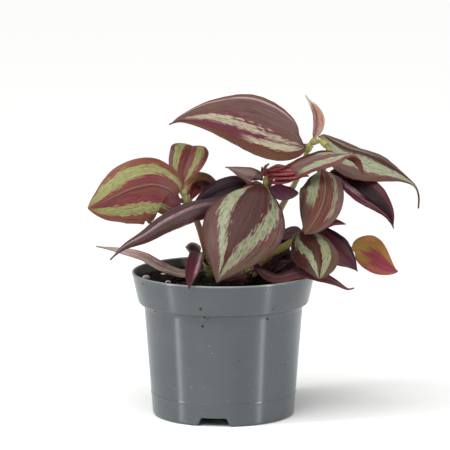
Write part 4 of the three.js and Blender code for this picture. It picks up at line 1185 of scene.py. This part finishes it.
class PLANT_OT_perlite(bpy.types.Operator):
    """Make the perlite: rough pale grains that lie on the soil"""

    bl_idname = "plant.perlite"
    bl_label = "Perlite"

    def execute(self, context):
        # A grain is a ball, flattened a little, whose radius is dented by crossed sines
        finish = grain_finish()
        tall, turn = np.linspace(0.02, np.pi - 0.02, GRAIN_RINGS)[:, None], turns(GRAIN_SIDES)
        way = joined(np.sin(tall) * np.cos(turn), np.sin(tall) * np.sin(turn), np.cos(tall))
        x, y, z = np.moveaxis(way, -1, 0)
        for number, (name, (east, north, radius)) in enumerate(GRAINS.items()):
            dents = (np.sin(3.1 * x + 2.3 * y + number) * np.cos(2.7 * z - 1.9 * x + 2 * number)
                     + 0.5 * np.sin(7 * y + 5 * z + 3 * number))
            points = radius * (0.94 + 0.07 * dents)[..., None] * way * GRAIN_FLAT
            middle = (east, north, soil_height(east, north) + radius * GRAIN_SEAT)
            grain = (points + middle, closed_faces(GRAIN_RINGS, GRAIN_SIDES))
            piece(name + "_grain", finish, "perlite", [grain], name)
        return {"FINISHED"}


class PLANT_OT_stems(bpy.types.Operator):
    """Make the stems: bars that swell at their nodes, with a fine ring there and a rounded end"""

    bl_idname = "plant.stems"
    bl_label = "Stems"

    def execute(self, context):
        settings = context.scene.inch_plant.stems
        share, turn = np.linspace(0, 1, STEM_RINGS), turns(STEM_SIDES)
        for name, stem in STEMS.items():
            place, way, radius, swell, length = stem_shape(stem, share)
            # The ring is a narrow bell on the radius, and the end falls off like a quarter of a circle
            rings = sum(np.exp(-(((share - node) * length - RING_PLACE) / RING_WIDTH) ** 2)
                        for node in stem["nodes"])
            ends = np.sqrt(np.clip(1 - ((share * length - length + 1.2) / 1.25).clip(0) ** 2, 0.03, 1))
            radius = (radius + RING_HEIGHT * rings) * ends
            points, faces = tube(place, way, radius, (0, 1, 0), STEM_SIDES)
            points = points + (points - place[:, None]) * (RIDGE_HEIGHT * np.cos(RIDGES * turn))[:, None]
            bar = (points, faces, joined(share[:, None], turn, swell[:, None]),
                   joined(share[:, None] * length, turn * 2, 1))
            finish = stem_finish(name + " stem", stem["skin"], settings)
            piece(name + "_stem", finish, "stem", [bar], "stem_" + name)
        return {"FINISHED"}


class PLANT_OT_leaves(bpy.types.Operator):
    """Make the leaves: each a waved, veined blade grown out of a sheath round its stem"""

    bl_idname = "plant.leaves"
    bl_label = "Leaves"

    def execute(self, context):
        settings = context.scene.inch_plant.leaves
        leaf_markings()
        wall = settings.sheath_wall / MM
        for number, (name, row) in enumerate(LEAVES.items(), 1):
            centre, axis, out, bore = leaf_seat(row)
            start = centre + out * (bore + wall / 2) + axis * (SHEATH_LENGTH / 2 - BLADE_DROP)
            fineness = WIDE_BLADE if max(row["halves"]) > WIDE_HALF else NARROW_BLADE
            parts = [blade(row, start, settings, *fineness), sheath(centre, axis, out, bore, wall)]
            piece(name + "_leaf", leaf_finish(name, row, settings, number), "leaf", parts, "leaf_" + name)
        small = (("knob_bracts", BRACTS, BRACT, BRACT_BLADE),
                 ("low_tangle", TANGLE, LEAVES["dark_right"], TANGLE_BLADE))
        for number, (name, rows, marked, fineness) in enumerate(small, len(LEAVES) + 1):
            parts = [blade(dict(BRACT, halves=halves, rib=rib[1:]), rib[0], settings, *fineness)
                     for rib, halves in rows]
            piece(name, leaf_finish(name, marked, settings, number), "leaf", parts)
        return {"FINISHED"}


class PLANT_OT_hairs(bpy.types.Operator):
    """Make the hairs: a fringe of fine bristles at the mouth of each sheath"""

    bl_idname = "plant.hairs"
    bl_label = "Hairs"

    def execute(self, context):
        plant = context.scene.inch_plant
        random = np.random.default_rng(HAIR_SEED)
        wall = plant.leaves.sheath_wall / MM
        length, width = plant.stems.hair_length / MM, plant.stems.hair_width / MM
        fringe = []
        for row in LEAVES.values():
            centre, axis, out, bore = leaf_seat(row)
            ring = circle(out, np.cross(axis, out), turns(FRINGE) + random.uniform(-0.1, 0.1, FRINGE))
            roots = centre + ring * (bore + wall * 0.7) + axis * (SHEATH_LENGTH / 2 - 0.15)
            ways = unit(axis + ring * random.uniform(0.15, 0.7, (FRINGE, 1)))
            fringe.append(bristles(random, roots, ways, length * random.uniform(0.5, 1.2, FRINGE), width))
        tip = np.array(LEAVES["centre_tip"]["rib"][-1]) - [0.4, 0, 0]
        roots = tip + random.uniform(-0.3, 0.3, (TIP_HAIRS, 3))
        ways = unit([0.9, -0.2, 0.3] + random.uniform(-0.7, 0.7, (TIP_HAIRS, 3)))
        fringe.append(bristles(random, roots, ways, length * random.uniform(0.9, 1.6, TIP_HAIRS), width))
        piece("sheath_hairs", hair_finish(), "leaf", fringe)
        return {"FINISHED"}


class PLANT_OT_specks(bpy.types.Operator):
    """Make the specks: crumbs of soil stuck to the outside of the pot"""

    bl_idname = "plant.specks"
    bl_label = "Specks"

    def execute(self, context):
        angle, height, size = np.array(SPECKS).T
        radius = context.scene.inch_plant.pot.rim_radius / MM - np.interp(height, WALL_HEIGHTS, WALL_DEPTHS)
        places = round_axis(radius, np.radians(angle), height)
        crumbs = lumps(np.random.default_rng(SPECK_SEED), places, size)
        piece("pot_specks", soil_finish("stuck crumbs", "#1e1410", "#4a3226"), "soil", [crumbs])
        return {"FINISHED"}


class PLANT_OT_stage(bpy.types.Operator):
    """Set the stage: a pale floor, a white surround, three soft lights and the camera"""

    bl_idname = "plant.stage"
    bl_label = "Stage"

    def execute(self, context):
        settings, scene = context.scene.inch_plant.stage, context.scene
        scene.view_settings.view_transform = "Standard"
        mesh = bpy.data.meshes.new("pale_floor")
        corners = [(x * FLOOR_REACH, y * FLOOR_REACH, 0) for x, y in ((-1, -1), (1, -1), (1, 1), (-1, 1))]
        mesh.from_pydata(corners, [], [(0, 1, 2, 3)])
        w = Finish("pale floor", 0.8, 0.2)
        grain = w.noise(w.place(), 300, 3)
        mesh.materials.append(w.done(w.mix(grain[0], settings.floor, (0.985,) * 3, "MULTIPLY")))
        placed("pale_floor", mesh)
        world = scene.world = bpy.data.worlds.new("white surround")
        world.use_nodes = True
        w = Wiring(world.node_tree)
        seen = w.add("LightPath").outputs["Is Camera Ray"]
        strength = w.maths("MULTIPLY_ADD", seen, 1 - settings.surround, settings.surround)
        w.fill(world.node_tree.nodes["Background"], Color=(1, 1, 1), Strength=strength)
        self.light("overhead light", "SUN", SKY_PLACE, settings.overhead)
        self.light("left light", "AREA", LEFT_PLACE, settings.left)
        self.light("right light", "AREA", RIGHT_PLACE, settings.right)
        data = bpy.data.cameras.new("camera")
        data.lens, data.sensor_width, data.clip_start, data.clip_end = CAMERA_LENS, SENSOR, 0.1, 100
        camera = scene.camera = placed("camera", data)
        camera.location = np.array(CAMERA_PLACE) * MM + AXIS
        camera.rotation_euler = (np.radians(90 - CAMERA_PITCH), 0, 0)
        return {"FINISHED"}

    def light(self, name, kind, place, power):
        """A soft light whose front looks at the middle of the plant: a wide sky, or a tall narrow box."""
        data = bpy.data.lights.new(name, kind)
        data.energy = power
        if kind == "SUN":
            data.angle = np.radians(SKY_SPREAD)
        else:
            data.shape, data.size, data.size_y = "RECTANGLE", LIGHT_SIZE[0] * MM, LIGHT_SIZE[1] * MM
        lamp = placed(name, data)
        way = np.subtract(LIT_POINT, place)
        lamp.location = np.array(place) * MM + AXIS
        tilt = np.arctan2(way[2], np.hypot(way[0], way[1]))
        lamp.rotation_euler = (np.pi / 2 + tilt, 0, -np.arctan2(way[0], way[1]))


MAKERS = (PLANT_OT_pot, PLANT_OT_soil, PLANT_OT_perlite, PLANT_OT_stems, PLANT_OT_leaves, PLANT_OT_hairs,
          PLANT_OT_specks, PLANT_OT_stage)


class PLANT_PT_panel(bpy.types.Panel):
    bl_idname = "PLANT_PT_panel"
    bl_label = "Inch Plant"
    bl_space_type = "VIEW_3D"
    bl_region_type = "UI"
    bl_category = "Plant"

    def draw(self, context):
        for maker in MAKERS:
            self.layout.operator(maker.bl_idname)


CLASSES = (PotSettings, SoilSettings, StemSettings, LeafSettings, StageSettings, PlantSettings, *MAKERS,
           PLANT_PT_panel)


def register():
    for one in CLASSES:
        bpy.utils.register_class(one)
    bpy.types.Scene.inch_plant = bpy.props.PointerProperty(type=PlantSettings)


def unregister():
    del bpy.types.Scene.inch_plant
    for one in reversed(CLASSES):
        bpy.utils.unregister_class(one)


def main():
    register()
    for maker in MAKERS:
        group, name = maker.bl_idname.split(".")
        getattr(getattr(bpy.ops, group), name)()


if __name__ == "__main__":
    main()
